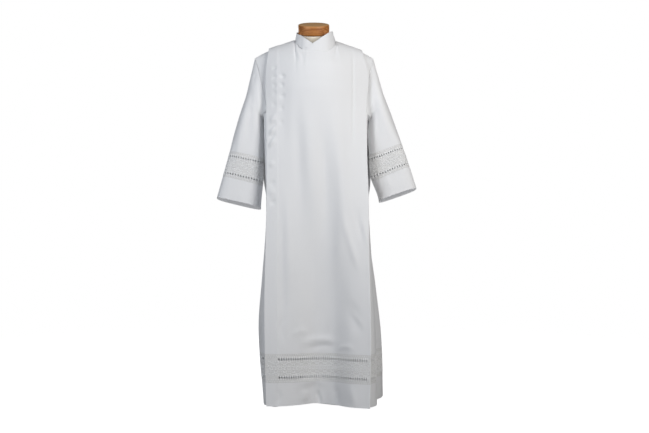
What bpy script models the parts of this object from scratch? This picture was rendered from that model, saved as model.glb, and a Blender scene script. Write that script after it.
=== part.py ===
"""Front-wrap alb (a priest's long white robe) standing on a limbless dress form.

Every cloth piece is a wall of even thickness. A piece's outside face is worked out as a grid of
points, with columns running anticlockwise as seen from above and rows running upward, and the wall
is laid inward from it. Metres, +Z up, -Y is the front, +X is the wearer's left. The origin is on
the floor under the stand's pole.
"""
import math

import bmesh
import bpy
import numpy as np
from mathutils import Matrix, Vector

for leftover in list(bpy.data.objects):
    bpy.data.objects.remove(leftover, do_unlink=True)

# ---------------------------------------------------------------- driving dimensions
WALL = 0.0016                # cloth thickness
SEAM = 0.0003                # gap left between pieces at a seam
LAYER = 0.0085               # how far the panels lie outside the side sections
HEM_Z = 0.012                # lowest edge of the robe
HEM_TOP_Z = 0.1030           # seam between the plain hem and the lace band
LACE_TOP_Z = 0.2145          # seam between the lace band and the body
LADDER_ROWS_Z = (0.1234, 0.1940)   # middles of the two open ladder rows
LADDER_PITCH = 0.0090
LADDER_GAP_WIDE = 0.0052
LADDER_GAP_TALL = 0.0086
ARMPIT_Z = 1.160
CHEST_Z = 1.240              # height where the front starts to roll back to the shoulder
RIDGE_Y = -0.035             # the shoulder seam's place, front to back
NECK_POINT_Z = 1.4516        # where the shoulder line meets the collar
NECK_CENTRE_X = 0.007
NECK_HALF_WIDE = 0.081
NECK_FRONT = 0.100           # neckline's reach forward of the shoulder seam
NECK_BACK = 0.072
FACING_WIDE = 0.046
FACING_CLEAR = 0.0016        # how far the facing lies behind the panel
FOLD_RADIUS = 0.0028         # outside radius of a pressed pleat's edge
FOLD_DEPTH = 0.030           # how far a pleat's return runs back under the panel
COLLAR_NOTCH_Z = 1.4262      # bottom of the V where the collar's ends cross
NOTCH_X = -0.0035
COLLAR_LEAN = 0.003          # how far the top of the collar draws in
COLLAR_CLEAR = 0.0022        # how far inside the neckline the collar stands
FORM_LEAN = math.radians(17.5)     # forward lean of the neck

CLOTH = (0.86, 0.86, 0.87)
LINEN = (0.62, 0.55, 0.44)
WOOD = (0.36, 0.18, 0.07)
STEEL = (0.60, 0.61, 0.62)


def table(columns, *rows):
    """Rows of numbers under named columns, as one array for each column."""
    return dict(zip(columns.split(), np.array(rows, float).T))


# Front panel's side edges at each height: the leading edge and the pleat's edge.
FRONT_EDGES = table(
    "z leading pleat",
    (0.00, -0.1816, 0.2173),
    (0.25, -0.1880, 0.2228),
    (0.43, -0.1890, 0.2197),
    (0.60, -0.1850, 0.2149),
    (0.80, -0.1800, 0.2126),
    (0.98, -0.1800, 0.2065),
    (1.18, -0.1812, 0.2033),
    (1.34, -0.1812, 0.2105),
    (1.42, -0.1750, 0.1878))

BACK_EDGES = table(
    "z leading pleat",
    (0.00, 0.2350, -0.1700),
    (0.30, 0.2300, -0.1750),
    (0.60, 0.1950, -0.1650),
    (1.00, 0.1850, -0.1600),
    (1.24, 0.1850, -0.1650),
    (1.42, 0.1780, -0.1700))

# Depth (y) of the layer just under the panels, at seven places across and five heights.
FRONT_X = (-0.19, -0.13, -0.06, 0.01, 0.08, 0.15, 0.21)
FRONT_Y = table(
    "z far_right right mid_right centre mid_left left far_left",
    (0.00, -0.171, -0.172, -0.150, -0.114, -0.134, -0.202, -0.228),
    (0.35, -0.166, -0.170, -0.161, -0.138, -0.144, -0.187, -0.208),
    (0.75, -0.155, -0.164, -0.163, -0.156, -0.159, -0.174, -0.176),
    (1.00, -0.135, -0.152, -0.162, -0.164, -0.161, -0.152, -0.138),
    (1.24, -0.100, -0.135, -0.160, -0.167, -0.156, -0.125, -0.093))

BACK_X = (-0.18, -0.12, -0.04, 0.04, 0.12, 0.18, 0.25)
BACK_Y = table(
    "z far_right right mid_right centre mid_left left far_left",
    (0.00, 0.148, 0.142, 0.118, 0.120, 0.142, 0.152, 0.160),
    (0.35, 0.128, 0.130, 0.112, 0.112, 0.130, 0.136, 0.140),
    (0.75, 0.100, 0.106, 0.098, 0.098, 0.106, 0.102, 0.098),
    (1.00, 0.070, 0.086, 0.092, 0.092, 0.086, 0.068, 0.040),
    (1.24, 0.028, 0.062, 0.085, 0.085, 0.060, 0.025, -0.010))

# Plan of each side section below the armpit: where it turns the front corner, bulges, dips and
# turns the back corner. The left one flares into two soft folds toward the hem.
SIDE_PLAN = {
    "left": table(
        "z front_x front_y fold_x fold_y dip_x dip_y rear_x rear_y back_x back_y",
        (0.00, 0.238, -0.180, 0.250, -0.120, 0.243, -0.045, 0.277, 0.045, 0.274, 0.130),
        (0.25, 0.236, -0.170, 0.243, -0.115, 0.240, -0.045, 0.270, 0.035, 0.266, 0.110),
        (0.45, 0.228, -0.155, 0.234, -0.108, 0.233, -0.045, 0.248, 0.020, 0.240, 0.090),
        (0.68, 0.216, -0.140, 0.219, -0.100, 0.219, -0.045, 0.220, 0.010, 0.212, 0.072),
        (1.00, 0.209, -0.115, 0.212, -0.085, 0.213, -0.045, 0.212, 0.000, 0.202, 0.045),
        (1.16, 0.210, -0.105, 0.214, -0.080, 0.216, -0.045, 0.214, -0.010, 0.204, 0.026)),
    "right": table(
        "z front_x front_y fold_x fold_y dip_x dip_y rear_x rear_y back_x back_y",
        (0.00, -0.186, -0.150, -0.1965, -0.095, -0.1994, -0.020, -0.197, 0.050, -0.186, 0.115),
        (0.33, -0.198, -0.140, -0.2130, -0.090, -0.2182, -0.025, -0.214, 0.045, -0.196, 0.100),
        (0.50, -0.190, -0.135, -0.2000, -0.088, -0.2040, -0.030, -0.200, 0.035, -0.186, 0.085),
        (0.70, -0.181, -0.125, -0.1860, -0.085, -0.1880, -0.035, -0.186, 0.020, -0.176, 0.068),
        (1.00, -0.188, -0.110, -0.1930, -0.080, -0.1950, -0.040, -0.192, 0.000, -0.180, 0.042),
        (1.16, -0.192, -0.100, -0.1970, -0.078, -0.1990, -0.045, -0.197, -0.010, -0.184, 0.026))}

# The armhole's edge above the armpit, on the front and the back.
ARMHOLE = {
    "left": table("z x", (1.16, 0.2100), (1.24, 0.2160), (1.32, 0.2230), (1.40, 0.2332)),
    "right": table("z x", (1.16, -0.1920), (1.24, -0.2020), (1.32, -0.2120), (1.40, -0.2288))}

# Rings of each sleeve from the cuff up: its outer and inner ends in the front view, half its depth
# and how far its back hangs below its front.
SLEEVE = {
    "left": table(
        "outer_x outer_z inner_x inner_z half_depth centre_y droop",
        (0.4088, 0.8584, 0.2604, 0.8064, 0.046, -0.055, 0.008),
        (0.3820, 0.9430, 0.2490, 0.8880, 0.046, -0.055, 0.006),
        (0.3500, 1.0350, 0.2330, 0.9930, 0.047, -0.053, 0.003),
        (0.3270, 1.0980, 0.2270, 1.0550, 0.050, -0.050, 0.000),
        (0.3030, 1.1650, 0.2260, 1.1000, 0.054, -0.046, 0.000),
        (0.2800, 1.2300, 0.2250, 1.1300, 0.058, -0.042, 0.000)),
    "right": table(
        "outer_x outer_z inner_x inner_z half_depth centre_y droop",
        (-0.3852, 0.8200, -0.2104, 0.7788, 0.048, -0.055, 0.008),
        (-0.3615, 0.9040, -0.2085, 0.8660, 0.048, -0.055, 0.006),
        (-0.3330, 1.0060, -0.2060, 0.9790, 0.049, -0.053, 0.003),
        (-0.3150, 1.0740, -0.2030, 1.0400, 0.051, -0.050, 0.000),
        (-0.2930, 1.1500, -0.2030, 1.0940, 0.055, -0.046, 0.000),
        (-0.2720, 1.2200, -0.2030, 1.1280, 0.058, -0.042, 0.000))}

# The dress form's rings from the hips up to the neck.
FORM = table(
    "z y half_wide half_depth lean",
    (0.760, -0.030, 0.150, 0.098, 0),
    (0.775, -0.030, 0.160, 0.106, 0),
    (0.860, -0.030, 0.165, 0.110, 0),
    (0.950, -0.032, 0.156, 0.102, 0),
    (1.050, -0.036, 0.145, 0.092, 0),
    (1.150, -0.038, 0.158, 0.098, 0),
    (1.240, -0.038, 0.172, 0.100, 0),
    (1.310, -0.036, 0.178, 0.088, 2),
    (1.360, -0.035, 0.165, 0.068, 4),
    (1.395, -0.036, 0.120, 0.062, 8),
    (1.415, -0.038, 0.078, 0.060, 12),
    (1.435, -0.036, 0.060, 0.057, 15),
    (1.455, -0.034, 0.056, 0.056, 17.5),
    (1.4762, -0.0384, 0.056, 0.056, 17.5))


# ---------------------------------------------------------------- curves
def smooth(keys, values, at):
    """Value at a key, on a smooth curve through all the values, straight past both ends."""
    keys = np.asarray(keys, float)
    values = np.asarray(values, float)
    slopes = np.gradient(values, keys, axis=0)
    i = int(np.clip(np.searchsorted(keys, at) - 1, 0, len(keys) - 2))
    span = keys[i + 1] - keys[i]
    t = (at - keys[i]) / span
    if t < 0:
        return values[i] + slopes[i] * (at - keys[i])
    if t > 1:
        return values[i + 1] + slopes[i + 1] * (at - keys[i + 1])
    return ((2 * t**3 - 3 * t**2 + 1) * values[i] + (t**3 - 2 * t**2 + t) * span * slopes[i]
            + (3 * t**2 - 2 * t**3) * values[i + 1] + (t**3 - t**2) * span * slopes[i + 1])


def look_up(columns, name, z):
    return smooth(columns["z"], columns[name], z)


def column_depth(xs, columns, x, z):
    """Depth of the front or back layer at a place across and a height."""
    names = [name for name in columns if name != "z"]
    across = [look_up(columns, name, z) for name in names]
    return smooth(xs, across, x)


# ---------------------------------------------------------------- the robe's front and back layers
def ridge_z(x):
    """Height of the shoulder line, run on across the neck."""
    away = math.sqrt(x * x + 0.02**2)
    drop = 0.335 * (away - 0.083) + 2.2 * max(away - 0.165, 0.0)**2
    return NECK_POINT_Z - LAYER - drop


class Face:
    """The front or the back of the robe, in the layer just under the panels."""

    def __init__(self, side, xs, depths, neck_reach, neck_squareness):
        self.side = side                  # -1 for the front, +1 for the back
        self.xs = xs
        self.depths = depths
        self.neck_reach = neck_reach
        self.neck_squareness = neck_squareness

    def depth(self, x, z):
        return column_depth(self.xs, self.depths, x, z)

    def rolled(self, x, s):
        """Point a share s of the way from the chest over to the shoulder line."""
        step = 0.02
        y0 = self.depth(x, CHEST_Z)
        lean = (y0 - self.depth(x, CHEST_Z - step)) / step
        z1 = ridge_z(x)
        y1 = RIDGE_Y + self.side * SEAM / 2
        rise = 1.45 * (z1 - CHEST_Z)
        back = 2.0 * (y1 - y0)
        y = ((2 * s**3 - 3 * s**2 + 1) * y0 + (s**3 - 2 * s**2 + s) * rise * lean
             + (3 * s**2 - 2 * s**3) * y1 + (s**3 - s**2) * back)
        z = ((2 * s**3 - 3 * s**2 + 1) * CHEST_Z + (s**3 - 2 * s**2 + s) * rise
             + (3 * s**2 - 2 * s**3) * z1)
        return np.array((x, y, z))

    def neck_y(self, x):
        """The neckline's place front to back, at a place across."""
        across = min(abs(x - NECK_CENTRE_X) / NECK_HALF_WIDE, 1.0)
        n = self.neck_squareness
        return RIDGE_Y + self.side * self.neck_reach * (1 - across**n) ** (1 / n)

    def end(self, x):
        """Share of the roll at which the cloth ends: at the neckline, or at the shoulder."""
        if abs(x - NECK_CENTRE_X) >= NECK_HALF_WIDE:
            return 1.0
        low, high = 0.0, 1.0
        limit = self.neck_y(x)
        for _ in range(24):
            middle = (low + high) / 2
            inside = self.side * (self.rolled(x, middle)[1] - limit)
            low, high = (middle, high) if inside > 0 else (low, middle)
        return low

    def point(self, x, h):
        """Point at level h: metres under the chest if negative, share of the roll if positive."""
        if h <= 0:
            z = CHEST_Z + h
            return np.array((x, self.depth(x, z), z))
        return self.rolled(x, h * self.end(x))


FRONT = Face(-1, FRONT_X, FRONT_Y, NECK_FRONT, 2.7)
BACK = Face(+1, BACK_X, BACK_Y, NECK_BACK, 2.4)


def level_z(h):
    """About how high a level is, for looking up the edges' tables."""
    return CHEST_Z + h if h <= 0 else CHEST_Z + 0.18 * math.sin(h * math.pi / 2)


def levels(bottom, below_chest, roll):
    """Levels from a height up to the chest, then over to the shoulder."""
    straight = np.linspace(bottom - CHEST_Z, 0.0, below_chest)
    return list(straight) + list(np.linspace(0, 1, roll + 1)[1:])


# ---------------------------------------------------------------- cloth walls
PINCHED = 0.45               # sine of the angle under which a grid's directions are too alike


def normals(points, closed=False):
    """Outward direction at each point of a grid."""
    if closed:
        along = np.roll(points, -1, axis=1) - np.roll(points, 1, axis=1)
    else:
        along = np.gradient(points, axis=1)
    up = np.gradient(points, axis=0)
    along /= np.linalg.norm(along, axis=2, keepdims=True)
    up /= np.linalg.norm(up, axis=2, keepdims=True)
    out = np.cross(along, up)
    spread = np.linalg.norm(out, axis=2)
    out /= spread[..., None]
    pinched = np.argwhere(spread < PINCHED)
    for row, column in pinched[pinched[:, 0] > 0]:
        out[row, column] = out[row - 1, column]
    return out


def moved(points, distance, closed=False):
    """The same grid moved out, or in where the distance is negative."""
    return points + normals(points, closed) * distance


def folded(points, where):
    """The grid with a pressed pleat added at its last or first columns.

    The edge turns through half a circle and its return runs back under the cloth, even with it.
    """
    out = normals(points)
    if where == "start":
        points, out = points[:, ::-1], out[:, ::-1]
    edge, edge_out = points[:, -1], out[:, -1]
    away = edge - points[:, -2]
    away -= edge_out * np.sum(away * edge_out, axis=1, keepdims=True)
    away /= np.linalg.norm(away, axis=1, keepdims=True)
    centre = edge - edge_out * FOLD_RADIUS
    added = [centre + FOLD_RADIUS * (edge_out * math.cos(a) + away * math.sin(a))
             for a in np.radians((45, 90, 135, 180))]
    steps = np.linalg.norm(np.diff(points[:, ::-1], axis=1), axis=2)
    inward = points - out * 2 * FOLD_RADIUS
    for share in (0.5, 1.0):
        column = []
        for row in range(len(points)):
            run = np.concatenate(([0], np.cumsum(steps[row])))
            column.append([np.interp(FOLD_DEPTH * share, run, inward[row, ::-1, axis])
                           for axis in range(3)])
        added.append(np.array(column))
    grid = np.concatenate((points, np.stack(added, axis=1)), axis=1)
    return grid[:, ::-1] if where == "start" else grid


def colour_material(name, colour, roughness, metallic=0.0):
    material = bpy.data.materials.new(name)
    material.use_nodes = True
    shader = material.node_tree.nodes["Principled BSDF"]
    shader.inputs["Base Color"].default_value = (*colour, 1)
    shader.inputs["Roughness"].default_value = roughness
    shader.inputs["Metallic"].default_value = metallic
    return material


def add_object(name, mesh_builder, material, sharp_degrees=40):
    mesh = bpy.data.meshes.new(name)
    mesh_builder.to_mesh(mesh)
    mesh_builder.free()
    mesh.shade_smooth()
    mesh.set_sharp_from_angle(angle=math.radians(sharp_degrees))
    mesh.materials.append(material)
    piece = bpy.data.objects.new(name, mesh)
    bpy.context.scene.collection.objects.link(piece)
    return piece


def fan_strip(fine, coarse):
    """Triangles between a row of fine points and the coarse row's points, given by column."""
    faces = []
    columns = sorted(coarse)
    for first, last in zip(columns, columns[1:]):
        middle = (first + last) // 2
        left, right = coarse[first], coarse[last]
        faces += [(left, fine[i + 1], fine[i]) for i in range(first, middle)]
        faces.append((left, right, fine[middle]))
        faces += [(right, fine[i + 1], fine[i]) for i in range(middle, last)]
    return faces


def cloth_wall(name, points, keep=None, closed=False, thickness=WALL, edge_columns=None):
    """A wall laid inward from a grid of outside points.

    keep marks the cells that hold cloth. Where edge_columns is given, the first and last rows
    use only those columns, and fans join them to the rows beside them.
    """
    rows, columns = points.shape[:2]
    cells = columns if closed else columns - 1
    if keep is None:
        keep = np.ones((rows - 1, cells), bool)
    inner = moved(points, -thickness, closed)
    builder = bmesh.new()
    made = {}

    def corner(row, column, face):
        key = (row, column % columns, face)
        if key not in made:
            source = points if face == 0 else inner
            made[key] = builder.verts.new(source[row, column % columns])
        return made[key]

    def kept(row, column):
        if closed:
            column %= columns
        return 0 <= row < rows - 1 and 0 <= column < cells and keep[row, column]

    def rim(a, b):
        """Side face between the outside and inside walls along an outside edge a to b."""
        builder.faces.new((corner(*b, 0), corner(*a, 0), corner(*a, 1), corner(*b, 1)))

    fanned = (0, rows - 2) if edge_columns else ()
    for face in (0, 1):
        for row in fanned:
            fine_row, edge_row = (1, 0) if row == 0 else (row, row + 1)
            fine = [corner(fine_row, column, face) for column in range(columns)]
            edge = {column: corner(edge_row, column, face) for column in edge_columns}
            flip = (face == 1) != (row != 0)
            for triangle in fan_strip(fine, edge):
                builder.faces.new(triangle[::-1] if flip else triangle)
        for row, column in np.argwhere(keep):
            if row in fanned:
                continue
            quad = [corner(row, column, face), corner(row, column + 1, face),
                    corner(row + 1, column + 1, face), corner(row + 1, column, face)]
            builder.faces.new(quad[::-1] if face else quad)

    if edge_columns:
        for start, stop in zip(edge_columns, edge_columns[1:]):
            rim((0, start), (0, stop))
            rim((rows - 1, stop), (rows - 1, start))
    for row, column in np.argwhere(keep):
        on_edge = (row == 0, row == rows - 2) if edge_columns else (False, False)
        if not on_edge[0] and not kept(row - 1, column):
            rim((row, column), (row, column + 1))
        if not on_edge[1] and not kept(row + 1, column):
            rim((row + 1, column + 1), (row + 1, column))
        if not kept(row, column - 1):
            rim((row + 1, column), (row, column))
        if not kept(row, column + 1):
            rim((row, column + 1), (row + 1, column + 1))
    bmesh.ops.triangulate(builder, faces=builder.faces[:])
    return add_object(name, builder, colour_material(name, CLOTH, 0.85))


# ---------------------------------------------------------------- panels
def panel_point(face, edges, share, h):
    z = level_z(h)
    x = (1 - share) * look_up(edges, "leading", z) + share * look_up(edges, "pleat", z)
    return face.point(x, h)


def hem_lift(points, x_span):
    """Raise the hem a little in the middle, where the panel hollows."""
    low, high = x_span
    middle = 1 - np.abs((points[0, :, 0] - (low + high) / 2) / ((high - low) / 2))
    points[0, :, 2] += 0.004 * np.clip(middle, 0, 1)
    return points


def straight_levels(*heights):
    return [z - CHEST_Z for z in heights]


HALF_GAP = LADDER_GAP_TALL / 2
LACE_LEVELS = (HEM_TOP_Z, LADDER_ROWS_Z[0] - HALF_GAP, LADDER_ROWS_Z[0] + HALF_GAP,
               LADDER_ROWS_Z[1] - HALF_GAP, LADDER_ROWS_Z[1] + HALF_GAP, LACE_TOP_Z)
# Where a panel's columns lie across it, from the chest down; at the top they close up round the
# neckline, which takes nine of them.
LOW_SHARES = (0, 0.058, 0.116, 0.19, 0.26, 0.33, 0.40, 0.46, 0.53, 0.60, 0.66, 0.73, 0.80, 0.87,
              0.94, 1)
NECK_COLUMNS = slice(4, 13)
NECK_ANGLES = np.radians((-90, -67.5, -45, -22.5, 0, 22.5, 45, 67.5, 90))


def top_shares(face, edges):
    """Where the same columns lie at the shoulder and the neckline."""
    leading, pleat = edges["leading"][-1], edges["pleat"][-1]
    bend = 2 / face.neck_squareness
    reach = NECK_HALF_WIDE / abs(pleat - leading)
    middle = (NECK_CENTRE_X - leading) / (pleat - leading)
    neck = [middle + reach * math.copysign(abs(math.sin(a)) ** bend, a) for a in NECK_ANGLES]
    before = [share * neck[0] / 0.26 for share in LOW_SHARES[1:NECK_COLUMNS.start]]
    after = np.linspace(neck[-1], 1, len(LOW_SHARES) - NECK_COLUMNS.stop + 1)[1:]
    return [0, *before, *neck, *after]


def panel_rows(face, edges, heights):
    """Panel's grid in its own layer, whole across."""
    top = np.array(top_shares(face, edges))
    low = np.array(LOW_SHARES)
    rows = []
    for h in heights:
        shares = low + (top - low) * max(h, 0.0) ** 0.7
        rows.append([panel_point(face, edges, share, h) for share in shares])
    return moved(np.array(rows), LAYER)


def front_pieces():
    body = panel_rows(FRONT, FRONT_EDGES, levels(LACE_TOP_Z + SEAM, 7, 7))
    cloth_wall("front_panel", folded(body, "end"))

    hem = panel_rows(FRONT, FRONT_EDGES,
                     straight_levels(HEM_Z, (HEM_Z + HEM_TOP_Z) / 2, HEM_TOP_Z - SEAM))
    cloth_wall("front_hem", folded(hem_lift(hem, (-0.12, 0.12)), "end"))

    front_facing(body, hem)
    return body[-1, NECK_COLUMNS]


def front_facing(body, hem):
    """Facing behind the leading edge, from the hem to the shoulder, as wide as the first two columns."""
    lace = panel_rows(FRONT, FRONT_EDGES, straight_levels(*LACE_LEVELS[1:5]))
    behind = np.concatenate([moved(grid, -WALL - FACING_CLEAR)[:, :3] for grid in (hem, lace, body)])
    behind[:, 0] += (behind[:, 1] - behind[:, 0]) * 0.03
    cloth_wall("front_facing", behind, thickness=0.0012)


def back_pieces():
    body = panel_rows(BACK, BACK_EDGES, levels(LACE_TOP_Z + SEAM, 6, 6))
    hem = panel_rows(BACK, BACK_EDGES, straight_levels(HEM_Z, HEM_TOP_Z - SEAM))
    for name, grid in (("back_panel", body), ("back_hem", hem)):
        cloth_wall(name, folded(folded(grid, "end"), "start"))
    return body[-1, NECK_COLUMNS]


# ---------------------------------------------------------------- side sections
def side_corners(side, z):
    """The plan of a side section at a height, from the front return round to the back one."""
    plan = SIDE_PLAN[side]
    lead = "pleat" if side == "left" else "leading"
    tail = "leading" if side == "left" else "pleat"
    sign = 1 if side == "left" else -1
    front_edge = look_up(FRONT_EDGES, lead, z)
    back_edge = look_up(BACK_EDGES, tail, z)
    inset = FOLD_DEPTH if side == "left" else 0.055
    corners = [(front_edge - sign * inset, None), (front_edge - sign * inset / 2, None)]
    corners = [(x, FRONT.depth(x, z)) for x, _ in corners]
    for name in ("front", "fold", "dip", "rear", "back"):
        corners.append((look_up(plan, name + "_x", z), look_up(plan, name + "_y", z)))
    for share in (0.5, 1.0):
        x = back_edge - sign * FOLD_DEPTH * share
        corners.append((x, BACK.depth(x, z)))
    return corners


SIDE_KEYS = (0, 0.5, 1.15, 2, 3, 4, 5, 5.65, 6.15)
ARMHOLE_FRONT_KEY = 1.15
ARMHOLE_BACK_KEY = 5


def side_point(side, key, z):
    """Point of a side section below the armpit, at a place along its plan."""
    x, y = smooth(SIDE_KEYS, side_corners(side, z), key)
    return np.array((x, y, z))


def side_grid(side, keys, heights):
    """Side section's outside points, its columns anticlockwise from above."""
    rows = []
    for h in heights:
        z = level_z(h)
        row = []
        if z <= ARMPIT_Z:
            row = [side_point(side, key, z) for key in keys]
        else:
            edge_x = look_up(ARMHOLE[side], "x", z)
            for key in keys:
                row.append(upper_side_point(side, key, h, z, edge_x))
        rows.append(row)
    grid = np.array(rows)
    return grid if side == "left" else grid[:, ::-1]


def upper_side_point(side, key, h, z, edge_x):
    """Point beside the armhole, or on the line across it, which holds no cloth."""
    corners = side_corners(side, z)
    if key <= ARMHOLE_FRONT_KEY:
        share = key / ARMHOLE_FRONT_KEY
        return FRONT.point((1 - share) * corners[0][0] + share * edge_x, h)
    if key >= ARMHOLE_BACK_KEY:
        share = (key - ARMHOLE_BACK_KEY) / (SIDE_KEYS[-1] - ARMHOLE_BACK_KEY)
        return BACK.point((1 - share) * edge_x + share * corners[-1][0], h)
    share = (key - ARMHOLE_FRONT_KEY) / (ARMHOLE_BACK_KEY - ARMHOLE_FRONT_KEY)
    return (1 - share) * FRONT.point(edge_x, h) + share * BACK.point(edge_x, h)


SIDE_COLUMNS = (0, 0.4, 0.8, 1.15, 1.6, 2.1, 2.7, 3.3, 3.9, 4.5, 5, 5.4, 5.8, 6.15)


def side_body(side):
    """Body of a side section, open at the armhole; also returns the armhole's edge."""
    heights = list(np.linspace(LACE_TOP_Z + SEAM - CHEST_Z, ARMPIT_Z - CHEST_Z, 6))
    armpit_row = len(heights) - 1
    heights += [-0.04, 0.0] + list(np.linspace(0, 1, 8)[1:])
    grid = side_grid(side, SIDE_COLUMNS, heights)
    keep = np.ones((grid.shape[0] - 1, grid.shape[1] - 1), bool)
    first = SIDE_COLUMNS.index(ARMHOLE_FRONT_KEY)
    last = SIDE_COLUMNS.index(ARMHOLE_BACK_KEY)
    if side == "right":
        first, last = len(SIDE_COLUMNS) - 1 - last, len(SIDE_COLUMNS) - 1 - first
    dip = np.sin(np.linspace(0, math.pi, last - first + 1)) * 0.022
    grid[armpit_row, first:last + 1, 2] -= dip
    keep[armpit_row:, first:last] = False
    cloth_wall("side_" + side, grid, keep)
    down = [grid[row, first] for row in range(grid.shape[0] - 1, armpit_row, -1)]
    across = [grid[armpit_row, column] for column in range(first, last + 1)]
    up = [grid[row, last] for row in range(armpit_row + 1, grid.shape[0])]
    return np.array(down + across + up)


def side_hem(side):
    grid = side_grid(side, SIDE_COLUMNS, straight_levels(HEM_Z, HEM_TOP_Z - SEAM))
    cloth_wall("side_" + side + "_hem", grid)


# ---------------------------------------------------------------- lace bands
PITCHES_PER_FAN = 3


def ladder_columns(length, plain_before, plain_after, most_gaps, spare_before):
    """Distances along a band of its columns, and which of the cells between them are gaps.

    spare_before is the share of the spare plain cloth that lies before the gaps.
    """
    gaps = min(most_gaps, int((length - plain_before - plain_after) / LADDER_PITCH))
    spare = length - plain_before - plain_after - gaps * LADDER_PITCH
    start = plain_before + spare * spare_before
    edges = list(np.linspace(0, start, 4))
    is_gap = [False] * 3
    for i in range(gaps):
        left = start + i * LADDER_PITCH
        edges += [left + LADDER_GAP_WIDE, left + LADDER_PITCH]
        is_gap += [True, False]
    edges[-1] = (edges[-2] + length) / 2
    edges.append(length)
    return np.array(edges), is_gap + [False]


def ladder_anchors(is_gap):
    """Columns that the band's plain edges use: all in plain cloth, few along the ladder."""
    beside = [before or after for before, after in zip([False] + is_gap, is_gap + [False])]
    anchors = []
    for column, touches in enumerate(beside):
        ends = not touches or not beside[column - 1] or not beside[column + 1]
        if ends or column - anchors[-1] >= 2 * PITCHES_PER_FAN:
            anchors.append(column)
    return anchors


def lace_grid(point_at, key_range, plain_before, plain_after, most_gaps, spare_before=0.5):
    """Band of points with columns at the gaps' edges, measured along its lowest line."""
    keys = np.linspace(*key_range, 80)
    path = np.array([point_at(key, LACE_LEVELS[0]) for key in keys])
    run = np.concatenate(([0], np.cumsum(np.linalg.norm(np.diff(path, axis=0), axis=1))))
    edges, is_gap = ladder_columns(run[-1], plain_before, plain_after, most_gaps, spare_before)
    at = np.interp(edges, run, keys)
    return np.array([[point_at(key, z) for key in at] for z in LACE_LEVELS]), is_gap


def lace_wall(name, grid, is_gap):
    keep = np.ones((len(LACE_LEVELS) - 1, len(is_gap)), bool)
    for row in (1, 3):
        keep[row] = ~np.array(is_gap)
    cloth_wall(name, grid, keep, edge_columns=ladder_anchors(is_gap))


FOLD_CELLS = [False] * 6


def front_lace():
    grid, is_gap = lace_grid(lambda share, z: panel_point(FRONT, FRONT_EDGES, share, z - CHEST_Z),
                             (0, 1), FACING_WIDE, 0.006, 41)
    lace_wall("front_lace", folded(moved(grid, LAYER), "end"), is_gap + FOLD_CELLS)


def back_lace():
    grid, is_gap = lace_grid(lambda share, z: panel_point(BACK, BACK_EDGES, share, z - CHEST_Z),
                             (0, 1), 0.012, 0.012, 38)
    both = folded(folded(moved(grid, LAYER), "end"), "start")
    lace_wall("back_lace", both, FOLD_CELLS + is_gap + FOLD_CELLS)


def side_lace(side):
    last = SIDE_KEYS[-1]
    under_front = 0.037 if side == "left" else 0.061
    if side == "left":
        grid, is_gap = lace_grid(lambda key, z: side_point(side, key, z), (0, last),
                                 under_front, 0.036, 36, 0)
    else:
        grid, is_gap = lace_grid(lambda key, z: side_point(side, key, z), (last, 0),
                                 0.036, under_front, 36, 1)
    lace_wall("side_" + side + "_lace", grid, is_gap)


# ---------------------------------------------------------------- sleeves
SLEEVE_STEPS = {"cuff": (0.0, 1.0), "lace": (1.0, 2.0), "body": (2.0, 5.0)}


def sleeve_ring(side, place, angles):
    """Points round a sleeve at a place along it, the angles starting at its outer end."""
    rings = SLEEVE[side]
    index = np.arange(len(rings["outer_x"]))
    outer_x, outer_z, inner_x, inner_z, half_depth, centre_y, droop = (
        smooth(index, rings[name], place) for name in
        ("outer_x", "outer_z", "inner_x", "inner_z", "half_depth", "centre_y", "droop"))
    centre = np.array(((outer_x + inner_x) / 2, centre_y, (outer_z + inner_z) / 2))
    reach = np.array(((outer_x - inner_x) / 2, 0, (outer_z - inner_z) / 2))
    forward = np.array((0, -half_depth, droop))
    return np.array([centre + reach * math.cos(a) + forward * math.sin(a) for a in angles])


def sleeve_pieces(side, armhole):
    """Cuff, lace band and body of a sleeve, the body ending just clear of the armhole's edge."""
    sign = 1 if side == "left" else -1
    if side == "right":
        armhole = armhole[::-1]
    height = (armhole[:, 2] - armhole[:, 2].min()) / np.ptp(armhole[:, 2])
    seam_line = armhole + np.array((0, 0, 0.6 * SEAM))
    seam_line[:, 0] += sign * (2.2 * SEAM + (WALL - SEAM) * np.clip(2.4 * height - 1.4, 0, 1))
    run = np.concatenate(([0], np.cumsum(np.linalg.norm(np.diff(armhole[:, 1:], axis=0), axis=1))))
    count = len(armhole)
    angles = (run / run[-1] * (count - 1) + 0.5) / count * 2 * math.pi
    for part, (low, high) in SLEEVE_STEPS.items():
        places = np.linspace(low + (SEAM / 0.09 if low else 0), high, 7 if part == "body" else 2)
        rings = [sleeve_ring(side, place, angles) for place in places]
        if part == "body":
            last = rings[-1]
            rings += [(1 - share) * last + share * seam_line for share in (0.33, 0.67, 1.0)]
        grid = np.array(rings)
        if side == "left":
            grid = grid[:, ::-1]
        name = "sleeve_" + side + ("" if part == "body" else "_" + part)
        cloth_wall(name, grid, closed=True)


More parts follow.
